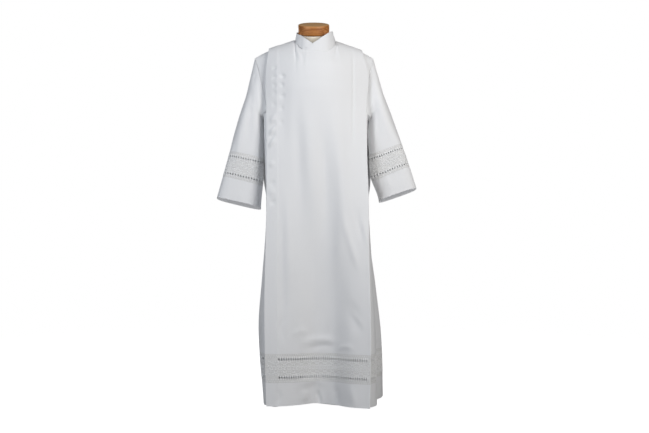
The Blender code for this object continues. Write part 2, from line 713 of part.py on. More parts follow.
# ---------------------------------------------------------------- collar
def collar_half(name, neckline, keys, crossing_side, inset):
    """Half of the stand collar along the neckline, its columns anticlockwise.

    Past the notch, toward crossing_side, its top edge runs down under or over the other half.
    inset is how far it is drawn in there, under the other half.
    """
    whole = len(neckline)
    rows = 4
    grid = np.zeros((rows, len(keys), 3))
    for column, key in enumerate(keys):
        before, share = int(key // 1), key % 1
        base = (1 - share) * neckline[before % whole] + share * neckline[(before + 1) % whole]
        toward = np.array((NECK_CENTRE_X - base[0], RIDGE_Y - base[1], 0))
        toward /= np.linalg.norm(toward)
        past = (base[0] - NOTCH_X) * crossing_side
        top_z = 1.486 + 0.10 * (base[1] - RIDGE_Y)
        if base[1] < RIDGE_Y:
            slope = -0.60 if past > 0 else 0.66
            top_z = min(top_z, COLLAR_NOTCH_Z + slope * abs(past))
        tucked = inset * float(np.clip((past + 0.065) / 0.015, 0, 1))
        bottom = base + toward * (COLLAR_CLEAR + tucked) + np.array((0, 0, 2 * SEAM))
        top = bottom + toward * COLLAR_LEAN
        top[2] = max(top_z, bottom[2] + 0.003)
        for row in range(rows):
            share = row / (rows - 1)
            grid[row, column] = (1 - share) * bottom + share * top
    cloth_wall(name, grid, thickness=0.0018)


def collar_pieces(front_line, back_line):
    """Both halves, along the front neckline and back round the back one."""
    neckline = np.concatenate((front_line, back_line[1:-1]))
    whole = len(neckline)
    front_middle, back_middle = 4, 12
    crossing, back_gap = 1.35, 0.006
    left_keys = [front_middle - crossing, *np.arange(3, back_middle, 0.5), back_middle - back_gap]
    right_keys = [back_middle + back_gap - whole, *np.arange(-3.5, 5.5, 0.5), front_middle + crossing]
    collar_half("collar_left", neckline, left_keys, -1, 0.0)
    collar_half("collar_right", neckline, right_keys, 1, 0.0048)


# ---------------------------------------------------------------- dress form and stand
def lofted(name, rings, material, sharp_degrees=40):
    """Closed solid through rings of points, with flat ends."""
    builder = bmesh.new()
    loops = [[builder.verts.new(point) for point in ring] for ring in rings]
    count = len(loops[0])
    for low, high in zip(loops, loops[1:]):
        for i in range(count):
            j = (i + 1) % count
            builder.faces.new((low[i], low[j], high[j], high[i]))
    builder.faces.new(loops[0][::-1])
    builder.faces.new(loops[-1])
    return add_object(name, builder, material, sharp_degrees)


def form_ring(z, y, half_wide, half_depth, lean_degrees, count=28):
    tilt = Matrix.Rotation(math.radians(lean_degrees), 4, "X")
    ring = []
    for i in range(count):
        a = 2 * math.pi * i / count
        flat = tilt @ Vector((half_wide * math.cos(a), half_depth * math.sin(a), 0))
        ring.append(Vector((0, y, z)) + flat)
    return ring


def dress_form():
    rings = [form_ring(*row) for row in zip(*(FORM[name] for name in FORM))]
    lofted("form_torso", rings, colour_material("form_linen", LINEN, 0.9))

    cap_profile = table("height radius", (0.0, 0.0570), (0.003, 0.0605), (0.012, 0.0622),
                        (0.028, 0.0622), (0.036, 0.0606), (0.0395, 0.0570), (0.0405, 0.0480))
    base = Vector((0, -0.0385, 1.4765))
    tilt = Matrix.Rotation(FORM_LEAN, 4, "X")
    rings = []
    for height, radius in zip(cap_profile["height"], cap_profile["radius"]):
        rings.append([base + tilt @ Vector((radius * math.cos(a), radius * math.sin(a), height))
                      for a in np.linspace(0, 2 * math.pi, 37)[:-1]])
    lofted("form_neck_cap", rings, colour_material("turned_wood", WOOD, 0.45))


def cylinder(name, radius, bottom, top, material, count=20):
    rings = [[(radius * math.cos(a), radius * math.sin(a), z)
              for a in np.linspace(0, 2 * math.pi, count + 1)[:-1]] for z in (bottom, top)]
    return lofted(name, rings, material)


def stand():
    steel = colour_material("brushed_steel", STEEL, 0.35, 1.0)
    arm_reach, half_wide, plate_top = 0.200, 0.018, 0.008
    directions = [math.atan2(sy * 0.55, sx * 0.835) for sx, sy in ((1, -1), (1, 1), (-1, 1), (-1, -1))]
    outline = []
    for i, heading in enumerate(directions):
        along = Vector((math.cos(heading), math.sin(heading)))
        left = Vector((-along.y, along.x))
        tip = along * (arm_reach - half_wide)
        outline += [tip + half_wide * (along * math.cos(a) + left * math.sin(a))
                    for a in np.linspace(-math.pi / 2, math.pi / 2, 7)]
        following = directions[(i + 1) % 4]
        half_turn = ((following - heading) % (2 * math.pi)) / 2
        between = heading + half_turn
        outline.append(Vector((math.cos(between), math.sin(between))) * half_wide / math.sin(half_turn))
    rings = [[(p.x, p.y, z) for p in outline] for z in (0.0, plate_top)]
    lofted("stand_base", rings, steel)

    floor = plate_top + SEAM
    cylinder("stand_pole", 0.0125, floor, FORM["z"][0] - SEAM, steel)
    builder = bmesh.new()
    profile = ((0.0130, floor), (0.0280, floor), (0.0280, 0.022), (0.0200, 0.040), (0.0130, 0.040))
    count = 24
    loops = [[builder.verts.new((r * math.cos(a), r * math.sin(a), z)) for r, z in profile]
             for a in np.linspace(0, 2 * math.pi, count + 1)[:-1]]
    for i, loop in enumerate(loops):
        following = loops[(i + 1) % count]
        for j in range(len(profile)):
            k = (j + 1) % len(profile)
            builder.faces.new((loop[j], following[j], following[k], loop[k]))
    add_object("stand_boss", builder, steel)


# ---------------------------------------------------------------- the object
front_neckline = front_pieces()
front_lace()
back_neckline = back_pieces()
back_lace()
for wearer_side in ("left", "right"):
    armhole_edge = side_body(wearer_side)
    side_lace(wearer_side)
    side_hem(wearer_side)
    sleeve_pieces(wearer_side, armhole_edge)
collar_pieces(front_neckline, back_neckline)
dress_form()
stand()
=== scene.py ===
"""Front-wrap alb on a limbless dress form: its finishes, folds, lace and stitching."""
import math

import bmesh
import bpy
import numpy as np
from mathutils import Matrix, Vector


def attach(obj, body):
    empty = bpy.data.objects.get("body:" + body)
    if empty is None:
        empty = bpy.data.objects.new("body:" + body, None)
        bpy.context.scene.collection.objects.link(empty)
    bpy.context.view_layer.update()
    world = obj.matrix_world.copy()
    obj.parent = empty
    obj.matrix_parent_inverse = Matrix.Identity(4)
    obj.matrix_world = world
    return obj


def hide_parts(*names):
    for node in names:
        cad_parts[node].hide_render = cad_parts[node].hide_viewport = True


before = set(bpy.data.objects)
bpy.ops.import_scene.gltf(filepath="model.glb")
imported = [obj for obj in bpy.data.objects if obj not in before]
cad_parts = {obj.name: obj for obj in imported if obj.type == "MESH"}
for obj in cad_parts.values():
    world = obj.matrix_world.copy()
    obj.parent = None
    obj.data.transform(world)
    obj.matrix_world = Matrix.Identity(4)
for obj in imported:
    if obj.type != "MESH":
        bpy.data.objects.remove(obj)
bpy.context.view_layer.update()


# ================================================================ camera
# A long lens straight in front of the robe, level with its middle.
CAMERA_AT = (0.0432, -4.54, 0.748)
LENS_MM = 62.4

lens = bpy.data.cameras.new("camera")
lens.lens = LENS_MM
lens.sensor_width = 36.0
camera = bpy.data.objects.new("camera", lens)
camera.location = CAMERA_AT
camera.rotation_euler = (math.radians(90), 0, 0)
bpy.context.scene.collection.objects.link(camera)
bpy.context.scene.camera = camera
bpy.context.scene.view_settings.view_transform = "Standard"


# ================================================================ floor and light
# A white paper floor that runs off into white. In front stand two large soft lamps, a warm one
# on the wearer's left and a weaker, cool one on the other side; a third lights the back.
class Shade:
    """A socket of a node tree that can be used in sums: each operator adds a Math node."""

    def __init__(self, tree, socket=None):
        self.tree = tree
        self.socket = socket

    def node(self, kind, settings=(), sockets=(), output=0):
        """Add a node, set it up, give its sockets values or links, and return one output."""
        made = self.tree.nodes.new(kind)
        for name, value in dict(settings).items():
            if name == "stops":
                while len(made.color_ramp.elements) < len(value):
                    made.color_ramp.elements.new(0.5)
                for element, (place, colour) in zip(made.color_ramp.elements, value):
                    element.position = place
                    element.color = colour
            else:
                setattr(made, name, value)
        for name, value in dict(sockets).items():
            if isinstance(value, Shade):
                self.tree.links.new(value.socket, made.inputs[name])
            else:
                made.inputs[name].default_value = value
        return Shade(self.tree, made.outputs[output])

    def other(self, output):
        """Another output of the same node."""
        return Shade(self.tree, self.socket.node.outputs[output])

    def sum(self, operation, *values):
        return self.node("ShaderNodeMath", {"operation": operation}, dict(enumerate(values)))

    def __add__(self, other):
        return self.sum("ADD", self, other)

    def __sub__(self, other):
        return self.sum("SUBTRACT", self, other)

    def __mul__(self, other):
        return self.sum("MULTIPLY", self, other)

    __radd__ = __add__

    def mixed(self, low, high):
        """A colour between two colours, by this value."""
        return self.node("ShaderNodeMix", {"data_type": "RGBA"},
                         {"Factor": self, 6: (*low, 1), 7: (*high, 1)}, output=2)


def material(name, constants, paint):
    """A Principled material; paint(start) returns the sockets that vary over the surface."""
    made = bpy.data.materials.new(name)
    made.use_nodes = True
    tree = made.node_tree
    shader = tree.nodes["Principled BSDF"]
    for socket, value in constants.items():
        shader.inputs[socket].default_value = value
    for socket, value in paint(Shade(tree)).items():
        tree.links.new(value.socket, shader.inputs[socket])
    return made


def linked(name, data):
    made = bpy.data.objects.new(name, data)
    bpy.context.scene.collection.objects.link(made)
    return made


FLOOR_RADIUS = 3.4
FLOOR_SOLID = 1.3            # radius inside which the paper is opaque; it fades out past it
WORLD_GREY = 0.09
KEY_WATTS = 47.0
FILL_WATTS = 35.5
BACK_WATTS = 50.0


def paper(start):
    place = start.node("ShaderNodeTexCoord", output="Object")
    fibres = start.node("ShaderNodeTexNoise", sockets={"Vector": place, "Scale": 9.0})
    reach = start.node("ShaderNodeVectorMath", {"operation": "LENGTH"}, {0: place}, output="Value")
    fade = start.node("ShaderNodeMapRange", {"interpolation_type": "SMOOTHSTEP"}, {
        "Value": reach, "From Min": FLOOR_SOLID, "From Max": FLOOR_RADIUS * 0.96,
        "To Min": 1.0, "To Max": 0.0})
    seen = start.node("ShaderNodeLightPath", output="Is Camera Ray")
    return {"Base Color": fibres.mixed((0.24, 0.24, 0.24), (0.26, 0.26, 0.26)), "Alpha": fade,
            "Emission Color": seen.mixed((0.0, 0.0, 0.0), (1.0, 1.0, 1.0))}


builder = bmesh.new()
bmesh.ops.create_circle(builder, cap_ends=True, segments=96, radius=FLOOR_RADIUS)
floor_mesh = bpy.data.meshes.new("floor")
builder.to_mesh(floor_mesh)
builder.free()
floor_mesh.materials.append(material("white_paper", {
    "Roughness": 0.9, "Emission Strength": 1.0}, paper))
floor = linked("floor", floor_mesh)

world = bpy.data.worlds.new("white_room")
world.use_nodes = True
bpy.context.scene.world = world
sky = Shade(world.node_tree)
seen = sky.node("ShaderNodeLightPath", output="Is Camera Ray")
backdrop = world.node_tree.nodes["Background"]
backdrop.inputs["Strength"].default_value = 1.0
world.node_tree.links.new(seen.mixed((WORLD_GREY,) * 3, (1, 1, 1)).socket, backdrop.inputs["Color"])


def lamp(name, place, aim, size, watts, colour):
    data = bpy.data.lights.new(name, "AREA")
    data.shape = "DISK"
    data.size = size
    data.energy = watts
    data.color = colour
    made = linked(name, data)
    made.location = place
    made.rotation_euler = (Vector(aim) - Vector(place)).to_track_quat("-Z", "Y").to_euler()


lamp("key", (1.55, -2.0, 1.9), (0, 0, 1.2), 1.1, KEY_WATTS, (1.0, 0.985, 0.965))
lamp("fill", (-1.75, -2.0, 1.9), (0, 0, 1.2), 1.3, FILL_WATTS, (0.90, 0.94, 1.0))
lamp("back_light", (-1.0, 3.2, 1.3), (0, 0, 0.8), 1.8, BACK_WATTS, (0.98, 0.98, 1.0))


# ================================================================ the form's body
# A padded tailor's bust with no limbs, covered in unbleached linen and drawn in to the neck.
# It carries the robe on its shoulders and stays clear of the cloth below them.
def table(columns, *rows):
    """Rows of numbers under named columns, as one array for each column."""
    return dict(zip(columns.split(), np.array(rows, float).T))


def smooth(keys, values, at):
    """Values at places along keys, on a smooth curve through them, straight past both ends.

    values holds one row for each place, or a single row for them all.
    """
    keys = np.asarray(keys, float)
    values = np.asarray(values, float)
    at = np.asarray(at, float)
    slopes = np.gradient(values, keys, axis=-1)
    i = np.clip(np.searchsorted(keys, at) - 1, 0, len(keys) - 2)

    def pick(source, index):
        if source.ndim == 1:
            return source[index]
        return np.take_along_axis(source, index[..., None], -1)[..., 0]

    span = keys[i + 1] - keys[i]
    t = (at - keys[i]) / span
    s = np.clip(t, 0, 1)
    slope_low, slope_high = pick(slopes, i), pick(slopes, i + 1)
    curve = ((2 * s**3 - 3 * s**2 + 1) * pick(values, i) + (s**3 - 2 * s**2 + s) * span * slope_low
             + (3 * s**2 - 2 * s**3) * pick(values, i + 1) + (s**3 - s**2) * span * slope_high)
    return curve + (t - s) * span * np.where(t < 0, slope_low, slope_high)


def look_up(columns, name, z):
    return smooth(columns["z"], columns[name], z)


def run_along(line):
    """Distance run at each point of a line."""
    return np.concatenate(([0], np.cumsum(np.linalg.norm(np.diff(line, axis=0), axis=1))))


def unit(vectors, least=0.0):
    """The vectors at length one; least keeps those of no length from dividing by zero."""
    return vectors / (np.linalg.norm(vectors, axis=-1, keepdims=True) + least)


def normals(points, closed=False, pinched=0.45):
    """Outward direction at each point of a grid; pinched corners take the row below's."""
    if closed:
        along = np.roll(points, -1, axis=1) - np.roll(points, 1, axis=1)
    else:
        along = np.gradient(points, axis=1)
    out = np.cross(unit(along, 1e-12), unit(np.gradient(points, axis=0), 1e-12))
    spread = np.linalg.norm(out, axis=2)
    out /= spread[..., None] + 1e-12
    tight = np.argwhere(spread < pinched)
    for row, column in tight[tight[:, 0] > 0]:
        out[row, column] = out[row - 1, column]
    return out


def grid_mesh(name, points, keep=None, closed=False, caps=False):
    """Quads on a grid of points, with a UV map in metres across and up the cloth."""
    rows, columns = points.shape[:2]
    cells = columns if closed else columns - 1
    if keep is None:
        keep = np.ones((rows - 1, cells), bool)
    r, c = np.nonzero(keep)
    after = (c + 1) % columns
    quads = np.stack((r * columns + c, r * columns + after,
                      (r + 1) * columns + after, (r + 1) * columns + c), axis=1)
    used = np.unique(quads)
    renumber = np.zeros(rows * columns, int)
    renumber[used] = np.arange(len(used))
    faces = [list(quad) for quad in renumber[quads].tolist()]
    if caps:
        faces.append(list(range(columns))[::-1])
        faces.append([(rows - 1) * columns + i for i in range(columns)])
    mesh = bpy.data.meshes.new(name)
    mesh.from_pydata(points.reshape(-1, 3)[used].tolist(), [], faces)
    middle = points[rows // 2]
    ring = np.concatenate((middle, middle[:1])) if closed else middle
    across, up = run_along(ring), run_along(points[:, columns // 2])
    corners = np.stack((np.stack((across[c], up[r]), 1), np.stack((across[c + 1], up[r]), 1),
                        np.stack((across[c + 1], up[r + 1]), 1), np.stack((across[c], up[r + 1]), 1)),
                       axis=1).reshape(-1, 2)
    layer = mesh.uv_layers.new(name="cloth")
    spare = len(layer.data) - len(corners)
    layer.data.foreach_set("uv", np.concatenate((corners, np.zeros((spare, 2)))).ravel())
    mesh.shade_smooth()
    sides = np.zeros(len(mesh.loops), int)
    mesh.loops.foreach_get("edge_index", sides)
    border = np.bincount(sides, minlength=len(mesh.edges)) == 1
    sharp = mesh.attributes.new("sharp_edge", "BOOLEAN", "EDGE")
    sharp.data.foreach_set("value", border)
    return mesh


FORM = table(
    "z y half_wide half_depth lean",
    (0.760, -0.030, 0.150, 0.098, 0),
    (0.775, -0.030, 0.160, 0.106, 0),
    (0.860, -0.030, 0.165, 0.110, 0),
    (0.950, -0.032, 0.156, 0.102, 0),
    (1.050, -0.036, 0.145, 0.092, 0),
    (1.150, -0.038, 0.158, 0.098, 0),
    (1.240, -0.038, 0.172, 0.100, 0),
    (1.310, -0.036, 0.178, 0.088, 2),
    (1.360, -0.035, 0.165, 0.068, 4),
    (1.395, -0.036, 0.120, 0.062, 8),
    (1.415, -0.038, 0.078, 0.060, 12),
    (1.435, -0.036, 0.060, 0.057, 15),
    (1.455, -0.034, 0.056, 0.056, 17.5),
    (1.4762, -0.0384, 0.056, 0.056, 17.5))
FORM_RINGS = 90
FORM_SIDES = 96
LINEN_PITCH = 0.0011


def woven(start, pitch, slub):
    """Height of a plain weave on the cloth's own UV map, its threads uneven by slub."""
    cloth = start.node("ShaderNodeUVMap", output="UV")
    across = start.node("ShaderNodeSeparateXYZ", sockets={"Vector": cloth})
    turns = 2 * math.pi / pitch
    warp = start.sum("SINE", across * turns)
    weft = start.sum("SINE", across.other(1) * turns)
    long_threads = start.node("ShaderNodeMapping", sockets={"Vector": cloth, "Scale": (900, 60, 1)})
    cross_threads = start.node("ShaderNodeMapping", sockets={"Vector": cloth, "Scale": (60, 900, 1)})
    uneven = (start.node("ShaderNodeTexNoise", sockets={"Vector": long_threads, "Scale": 1.0})
              + start.node("ShaderNodeTexNoise", sockets={"Vector": cross_threads, "Scale": 1.0}))
    return warp * weft * 0.5 + uneven * slub


def raised(start, height, strength, distance):
    return start.node("ShaderNodeBump", sockets={"Strength": strength, "Distance": distance,
                                                "Height": height})


def grain(start, scale, detail=2.0, stretch=None):
    """Noise on the piece's own coordinates, drawn out along an axis where stretch says so."""
    place = start.node("ShaderNodeTexCoord", output="Object")
    if stretch:
        place = start.node("ShaderNodeMapping", sockets={"Vector": place, "Scale": stretch})
    return start.node("ShaderNodeTexNoise", sockets={"Vector": place, "Scale": scale,
                                                     "Detail": detail})


def weave(pitch, slub, patches, shares, bump, colours):
    """Paint of a woven cloth: its patches (scale, detail) and threads share in its tone."""
    def paint(start):
        height = woven(start, pitch, slub)
        tone = grain(start, *patches) * shares[0] + height * shares[1]
        return {"Base Color": tone.mixed(*colours), "Normal": raised(start, height, *bump)}
    return paint


linen = weave(LINEN_PITCH, 0.9, (14.0, 4.0), (0.7, 0.12), (0.35, 0.0004),
              ((0.72, 0.65, 0.54), (0.86, 0.80, 0.69)))


def form_rings(heights, sides):
    """Rings round the form at the given heights, leaning forward towards the neck."""
    angles = np.linspace(0, 2 * math.pi, sides + 1)[:-1]
    y, wide, depth, lean = (look_up(FORM, name, heights)[:, None]
                            for name in ("y", "half_wide", "half_depth", "lean"))
    flat_x, flat_y = wide * np.cos(angles), depth * np.sin(angles)
    tilt = np.radians(lean)
    return np.stack((flat_x, y + flat_y * np.cos(tilt), heights[:, None] + flat_y * np.sin(tilt)),
                    axis=2)


ring_heights = np.linspace(FORM["z"][0], FORM["z"][-1], FORM_RINGS)
body_mesh = grid_mesh("form_body", form_rings(ring_heights, FORM_SIDES), closed=True, caps=True)
body_mesh.materials.append(material("linen_cover", {"Roughness": 0.92, "Sheen Weight": 0.25}, linen))
form_body = linked("form_body", body_mesh)
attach(form_body, "root")
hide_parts("form_torso")


# ================================================================ the neck cap
# A turned hardwood disc with eased edges, pinned on top of the neck and finished in satin
# varnish. The grain runs across it, and shallow turning lines go round its side.
CAP_BASE = (0, -0.0385, 1.4765)
CAP_LEAN = math.radians(17.5)
CAP_PROFILE = (              # radius and height
    (0.0, 0.0), (0.052, 0.0), (0.0570, 0.0002), (0.0600, 0.0022), (0.0618, 0.0062),
    (0.0622, 0.0120), (0.0624, 0.0200), (0.0623, 0.0300), (0.0621, 0.0352), (0.0615, 0.0373),
    (0.0602, 0.0388), (0.0585, 0.0395), (0.0560, 0.0399), (0.0485, 0.0404), (0.0300, 0.0408),
    (0.0, 0.0410))
CAP_SIDES = 96


def varnished_wood(start):
    place = start.node("ShaderNodeTexCoord", output="Object")
    swirl = start.node("ShaderNodeMapping", sockets={
        "Vector": place, "Scale": (9, 60, 120), "Rotation": (CAP_LEAN, 0, 0.2)})
    rings = start.node("ShaderNodeTexNoise", sockets={"Vector": swirl, "Scale": 1.0, "Detail": 6.0,
                                                      "Distortion": 0.8})
    fibre = grain(start, 1.0, stretch=(60, 700, 900))
    tone = rings * 0.75 + fibre * 0.25
    colour = start.node("ShaderNodeValToRGB", {"stops": (
        (0.30, (0.240, 0.072, 0.014, 1)), (0.47, (0.400, 0.145, 0.032, 1)),
        (0.60, (0.540, 0.230, 0.066, 1)), (0.75, (0.430, 0.165, 0.040, 1)))}, {"Fac": tone})
    # Painted light: faces that look upward are mixed toward a paler honey colour, standing in for the
    # light falling on the cap's top.
    up = start.node("ShaderNodeSeparateXYZ", sockets={
        "Vector": start.node("ShaderNodeNewGeometry", output="Normal")}, output="Z")
    painted_top_light = start.node("ShaderNodeMapRange", sockets={"Value": up, "From Min": 0.35, "From Max": 0.9})
    colour = start.node("ShaderNodeMix", {"data_type": "RGBA"}, {
        "Factor": painted_top_light * 0.75, "A": colour, "B": (0.66, 0.40, 0.18, 1)}, output="Result")
    return {"Base Color": colour, "Normal": raised(start, fibre, 0.25, 0.0003),
            "Roughness": 0.42 + fibre * 0.2}


builder = bmesh.new()
profile = [builder.verts.new((radius, 0, height)) for radius, height in CAP_PROFILE]
edges = [builder.edges.new(pair) for pair in zip(profile, profile[1:])]
bmesh.ops.spin(builder, geom=profile + edges, axis=(0, 0, 1), cent=(0, 0, 0),
               angle=2 * math.pi, steps=CAP_SIDES)
bmesh.ops.remove_doubles(builder, verts=builder.verts, dist=1e-5)
bmesh.ops.recalc_face_normals(builder, faces=builder.faces)
place_cap = Matrix.Translation(CAP_BASE) @ Matrix.Rotation(CAP_LEAN, 4, "X")
bmesh.ops.transform(builder, matrix=place_cap, verts=builder.verts)
cap_mesh = bpy.data.meshes.new("neck_cap")
builder.to_mesh(cap_mesh)
builder.free()
cap_mesh.shade_smooth()
cap_mesh.materials.append(material("turned_wood", {"Coat Weight": 0.15, "Coat Roughness": 0.30},
                                   varnished_wood))
neck_cap = linked("neck_cap", cap_mesh)
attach(neck_cap, "root")
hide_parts("form_neck_cap")


# ================================================================ the stand
# A satin steel tube in a turned boss, welded to a foot of four flat arms. The machined pieces
# keep their own shapes and get a brushed finish with faint wear.
def brushed(start):
    scratches = grain(start, 1.0, stretch=(900, 900, 12))
    smudge = grain(start, 11.0, 3.0)
    return {"Base Color": smudge.mixed((0.48, 0.49, 0.50), (0.60, 0.61, 0.62)),
            "Roughness": 0.28 + smudge * 0.15, "Normal": raised(start, scratches, 0.15, 0.0002)}


steel = material("satin_steel", {"Metallic": 1.0}, brushed)
for name in ("stand_pole", "stand_boss", "stand_base"):
    for material_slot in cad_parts[name].material_slots:
        material_slot.material = steel


# ================================================================ the over-front
# The wearer's left front, wrapped over to the other side: one length of white polyester and
# linen cloth from the shoulders to the lace band, with a pressed pleat down its wearer's-left
# edge. It hangs just outside the side sections.
WALL = 0.0009                # finished thickness of the cloth
LAYER = 0.0085               # how far the panels hang outside the side sections
SEAM = 0.0003                # gap left at a seam
CHEST_Z = 1.240              # height where the front starts to roll back to the shoulder
RIDGE_Y = -0.035             # the shoulder seam's place, front to back
SHOULDER_SLOPE = 0.335       # fall of the shoulder line from the neck point out
SHOULDER_START, SHOULDER_END = 0.083, 0.165    # from the middle: the neck point, the rounded end
SHOULDER_END_BEND = 2.2
SHOULDER_PEAK = 0.02         # how wide the line is rounded over in the middle
ROLL_SETS_OFF, ROLL_ARRIVES = 1.45, 2.0    # how straight the cloth leaves the chest and comes in
ROLL_RISE = 0.18             # about how much higher the shoulder is than the chest
NECK_POINT_Z = 1.4516
NECK_CENTRE_X = 0.007
NECK_HALF_WIDE = 0.081
FOLD_RADIUS = 0.0028         # outside radius of a pressed pleat's edge
FOLD_DEPTH = 0.030           # how far a pleat's return runs back under the panel
HEM_Z = 0.012
HEM_TOP_Z = 0.1030
LACE_TOP_Z = 0.2145
# Places x of the over-front's leading edge and of its pleat at heights z.
FRONT_EDGES = table(
    "z leading pleat",
    (0.00, -0.1816, 0.2173),
    (0.25, -0.1880, 0.2228),
    (0.43, -0.1890, 0.2197),
    (0.60, -0.1850, 0.2149),
    (0.80, -0.1800, 0.2126),
    (0.98, -0.1800, 0.2065),
    (1.18, -0.1812, 0.2033),
    (1.34, -0.1812, 0.2105),
    (1.42, -0.1750, 0.1878))
# Depth (y) of the layer just under the panel, at seven places across and five heights.
FRONT_X = (-0.19, -0.13, -0.06, 0.01, 0.08, 0.15, 0.21)
FRONT_Y = table(
    "z far_right right mid_right centre mid_left left far_left",
    (0.00, -0.171, -0.172, -0.150, -0.114, -0.134, -0.202, -0.228),
    (0.35, -0.166, -0.170, -0.161, -0.138, -0.144, -0.187, -0.208),
    (0.75, -0.155, -0.164, -0.163, -0.156, -0.159, -0.174, -0.176),
    (1.00, -0.135, -0.152, -0.162, -0.164, -0.161, -0.152, -0.138),
    (1.24, -0.100, -0.135, -0.160, -0.167, -0.156, -0.125, -0.093))
# Where a panel's columns lie across it, from the chest down; at the top they close up round the
# neckline, which takes columns 4 to 12.
LOW_SHARES = (0, 0.058, 0.116, 0.19, 0.26, 0.33, 0.40, 0.46, 0.53, 0.60, 0.66, 0.73, 0.80, 0.87,
              0.94, 1)
NECK_FIRST, NECK_LAST, PANEL_LAST = 4, 12, 15


def ridge_z(x):
    """Height of the shoulder line, run on across the neck."""
    away = np.sqrt(x * x + SHOULDER_PEAK**2)
    drop = (SHOULDER_SLOPE * (away - SHOULDER_START)
            + SHOULDER_END_BEND * np.maximum(away - SHOULDER_END, 0.0)**2)
    return NECK_POINT_Z - LAYER - drop


def low_share(columns):
    """Share of the panel's width at which its columns lie from the chest down."""
    return smooth(np.arange(PANEL_LAST + 1), LOW_SHARES, columns)


def rough_z(h):
    """About how high a level lies: under the chest, or over the chest toward the shoulder."""
    over = CHEST_Z + ROLL_RISE * np.sin(np.maximum(h, 0) * math.pi / 2)
    return np.where(h <= 0, CHEST_Z + h, over)


def smooth_step(t):
    """Share that starts and ends level."""
    return t * t * (3 - 2 * t)


class Face:
    """The front or the back of the robe, in the layer just under the panels."""

    def __init__(self, side, xs, depths, edges, neck_reach, neck_squareness):
        self.side = side                  # -1 for the front, +1 for the back
        self.xs, self.depths, self.edges = xs, depths, edges
        self.neck_reach, self.neck_squareness = neck_reach, neck_squareness

    def across(self, share, z):
        """Place x at a share of the panel's width, from its leading edge to its pleat."""
        return ((1 - share) * look_up(self.edges, "leading", z)
                + share * look_up(self.edges, "pleat", z))

    def depth(self, x, z):
        names = [name for name in self.depths if name != "z"]
        across = np.stack([look_up(self.depths, name, z) for name in names], axis=-1)
        return smooth(self.xs, across, x)

    def rolled(self, x, s):
        """Point a share s of the way from the chest over to the shoulder line."""
        step = 0.02
        chest = np.full_like(x, CHEST_Z)
        y0 = self.depth(x, chest)
        lean = (y0 - self.depth(x, chest - step)) / step
        z1 = ridge_z(x)
        y1 = RIDGE_Y + self.side * SEAM / 2
        rise = ROLL_SETS_OFF * (z1 - CHEST_Z)
        back = ROLL_ARRIVES * (y1 - y0)
        start, leave = 2 * s**3 - 3 * s**2 + 1, s**3 - 2 * s**2 + s
        end, arrive = 3 * s**2 - 2 * s**3, s**3 - s**2
        y = start * y0 + leave * rise * lean + end * y1 + arrive * back
        z = start * CHEST_Z + leave * rise + end * z1
        return np.stack((x, y, z), axis=-1)

    def end(self, x):
        """Share of the roll at which the cloth ends: at the neckline, or at the shoulder."""
        across = np.minimum(np.abs(x - NECK_CENTRE_X) / NECK_HALF_WIDE, 1.0)
        n = self.neck_squareness
        limit = RIDGE_Y + self.side * self.neck_reach * (1 - across**n) ** (1 / n)
        low, high = np.zeros_like(x), np.ones_like(x)
        for _ in range(24):
            middle = (low + high) / 2
            beyond = self.side * (self.rolled(x, middle)[..., 1] - limit) > 0
            low, high = np.where(beyond, middle, low), np.where(beyond, high, middle)
        return np.where(np.abs(x - NECK_CENTRE_X) >= NECK_HALF_WIDE, 1.0, low)

    def point(self, x, h):
        """Point at level h: metres under the chest if negative, share of the roll if positive."""
        z = CHEST_Z + np.minimum(h, 0)
        low = np.stack((x, self.depth(x, z), z), axis=-1)
        return np.where((h <= 0)[..., None], low, self.rolled(x, np.maximum(h, 0) * self.end(x)))

    def shares(self, columns, h):
        """Share of the panel's width at which its columns lie, at each level."""
        leading, pleat = self.edges["leading"][-1], self.edges["pleat"][-1]
        reach = NECK_HALF_WIDE / abs(pleat - leading)
        middle = (NECK_CENTRE_X - leading) / (pleat - leading)
        low = low_share(columns)
        quarter_turns = np.clip((columns - NECK_FIRST) / (NECK_LAST - NECK_FIRST) * 2 - 1, -1, 1)
        swing = np.sin(quarter_turns * math.pi / 2)
        top = middle + reach * np.sign(swing) * np.abs(swing) ** (2 / self.neck_squareness)
        before = low * (middle - reach) / LOW_SHARES[NECK_FIRST]
        past = (columns - NECK_LAST) / (PANEL_LAST - NECK_LAST)
        after = middle + reach + (1 - middle - reach) * past
        top = np.where(columns < NECK_FIRST, before, np.where(columns > NECK_LAST, after, top))
        return low + (top - low) * np.maximum(h, 0.0) ** 0.7

    def laid(self, columns, heights):
        """Points of the layer under the panel, each column taken by itself."""
        c, h = np.meshgrid(columns, heights)
        return self.point(self.across(self.shares(c, h), rough_z(h)), h)

    def layer(self, columns, heights):
        """Grid of the layer under the panel at the given columns and levels.

        On the shoulders the columns between the main ones follow a smooth curve through those.
        """
        c, h = np.meshgrid(columns, heights)
        main = self.laid(np.arange(PANEL_LAST + 1), heights)

        def through(stops):
            made = np.zeros(c.shape + (3,))
            for first, last in zip(stops, stops[1:]):
                part = main[:, None, first:last + 1]
                bent = np.stack([smooth(np.arange(first, last + 1), part[..., axis], c)
                                 for axis in range(3)], axis=-1)
                made = np.where(((c >= first) & (c <= last))[..., None], bent, made)
            return made

        corner = np.clip(h, 0, 1)[..., None] ** 2
        shoulder = ((1 - corner) * through((0, PANEL_LAST))
                    + corner * through((0, NECK_FIRST, NECK_LAST, PANEL_LAST)))
        share = np.clip(h / 0.1, 0, 1)[..., None]
        return (1 - share) * self.laid(columns, heights) + share * shoulder


FRONT = Face(-1, FRONT_X, FRONT_Y, FRONT_EDGES, neck_reach=0.100, neck_squareness=2.7)


def level(z):
    """The level of a height below the chest."""
    return z - CHEST_Z


# The sides a fold can be seen from: which way it faces, and the axis that runs across the view.
VIEWS = {"front": ((0, -1, 0), 0), "back": ((0, 1, 0), 0), "left": ((1, 0, 0), 1),
         "right": ((-1, 0, 0), 1)}


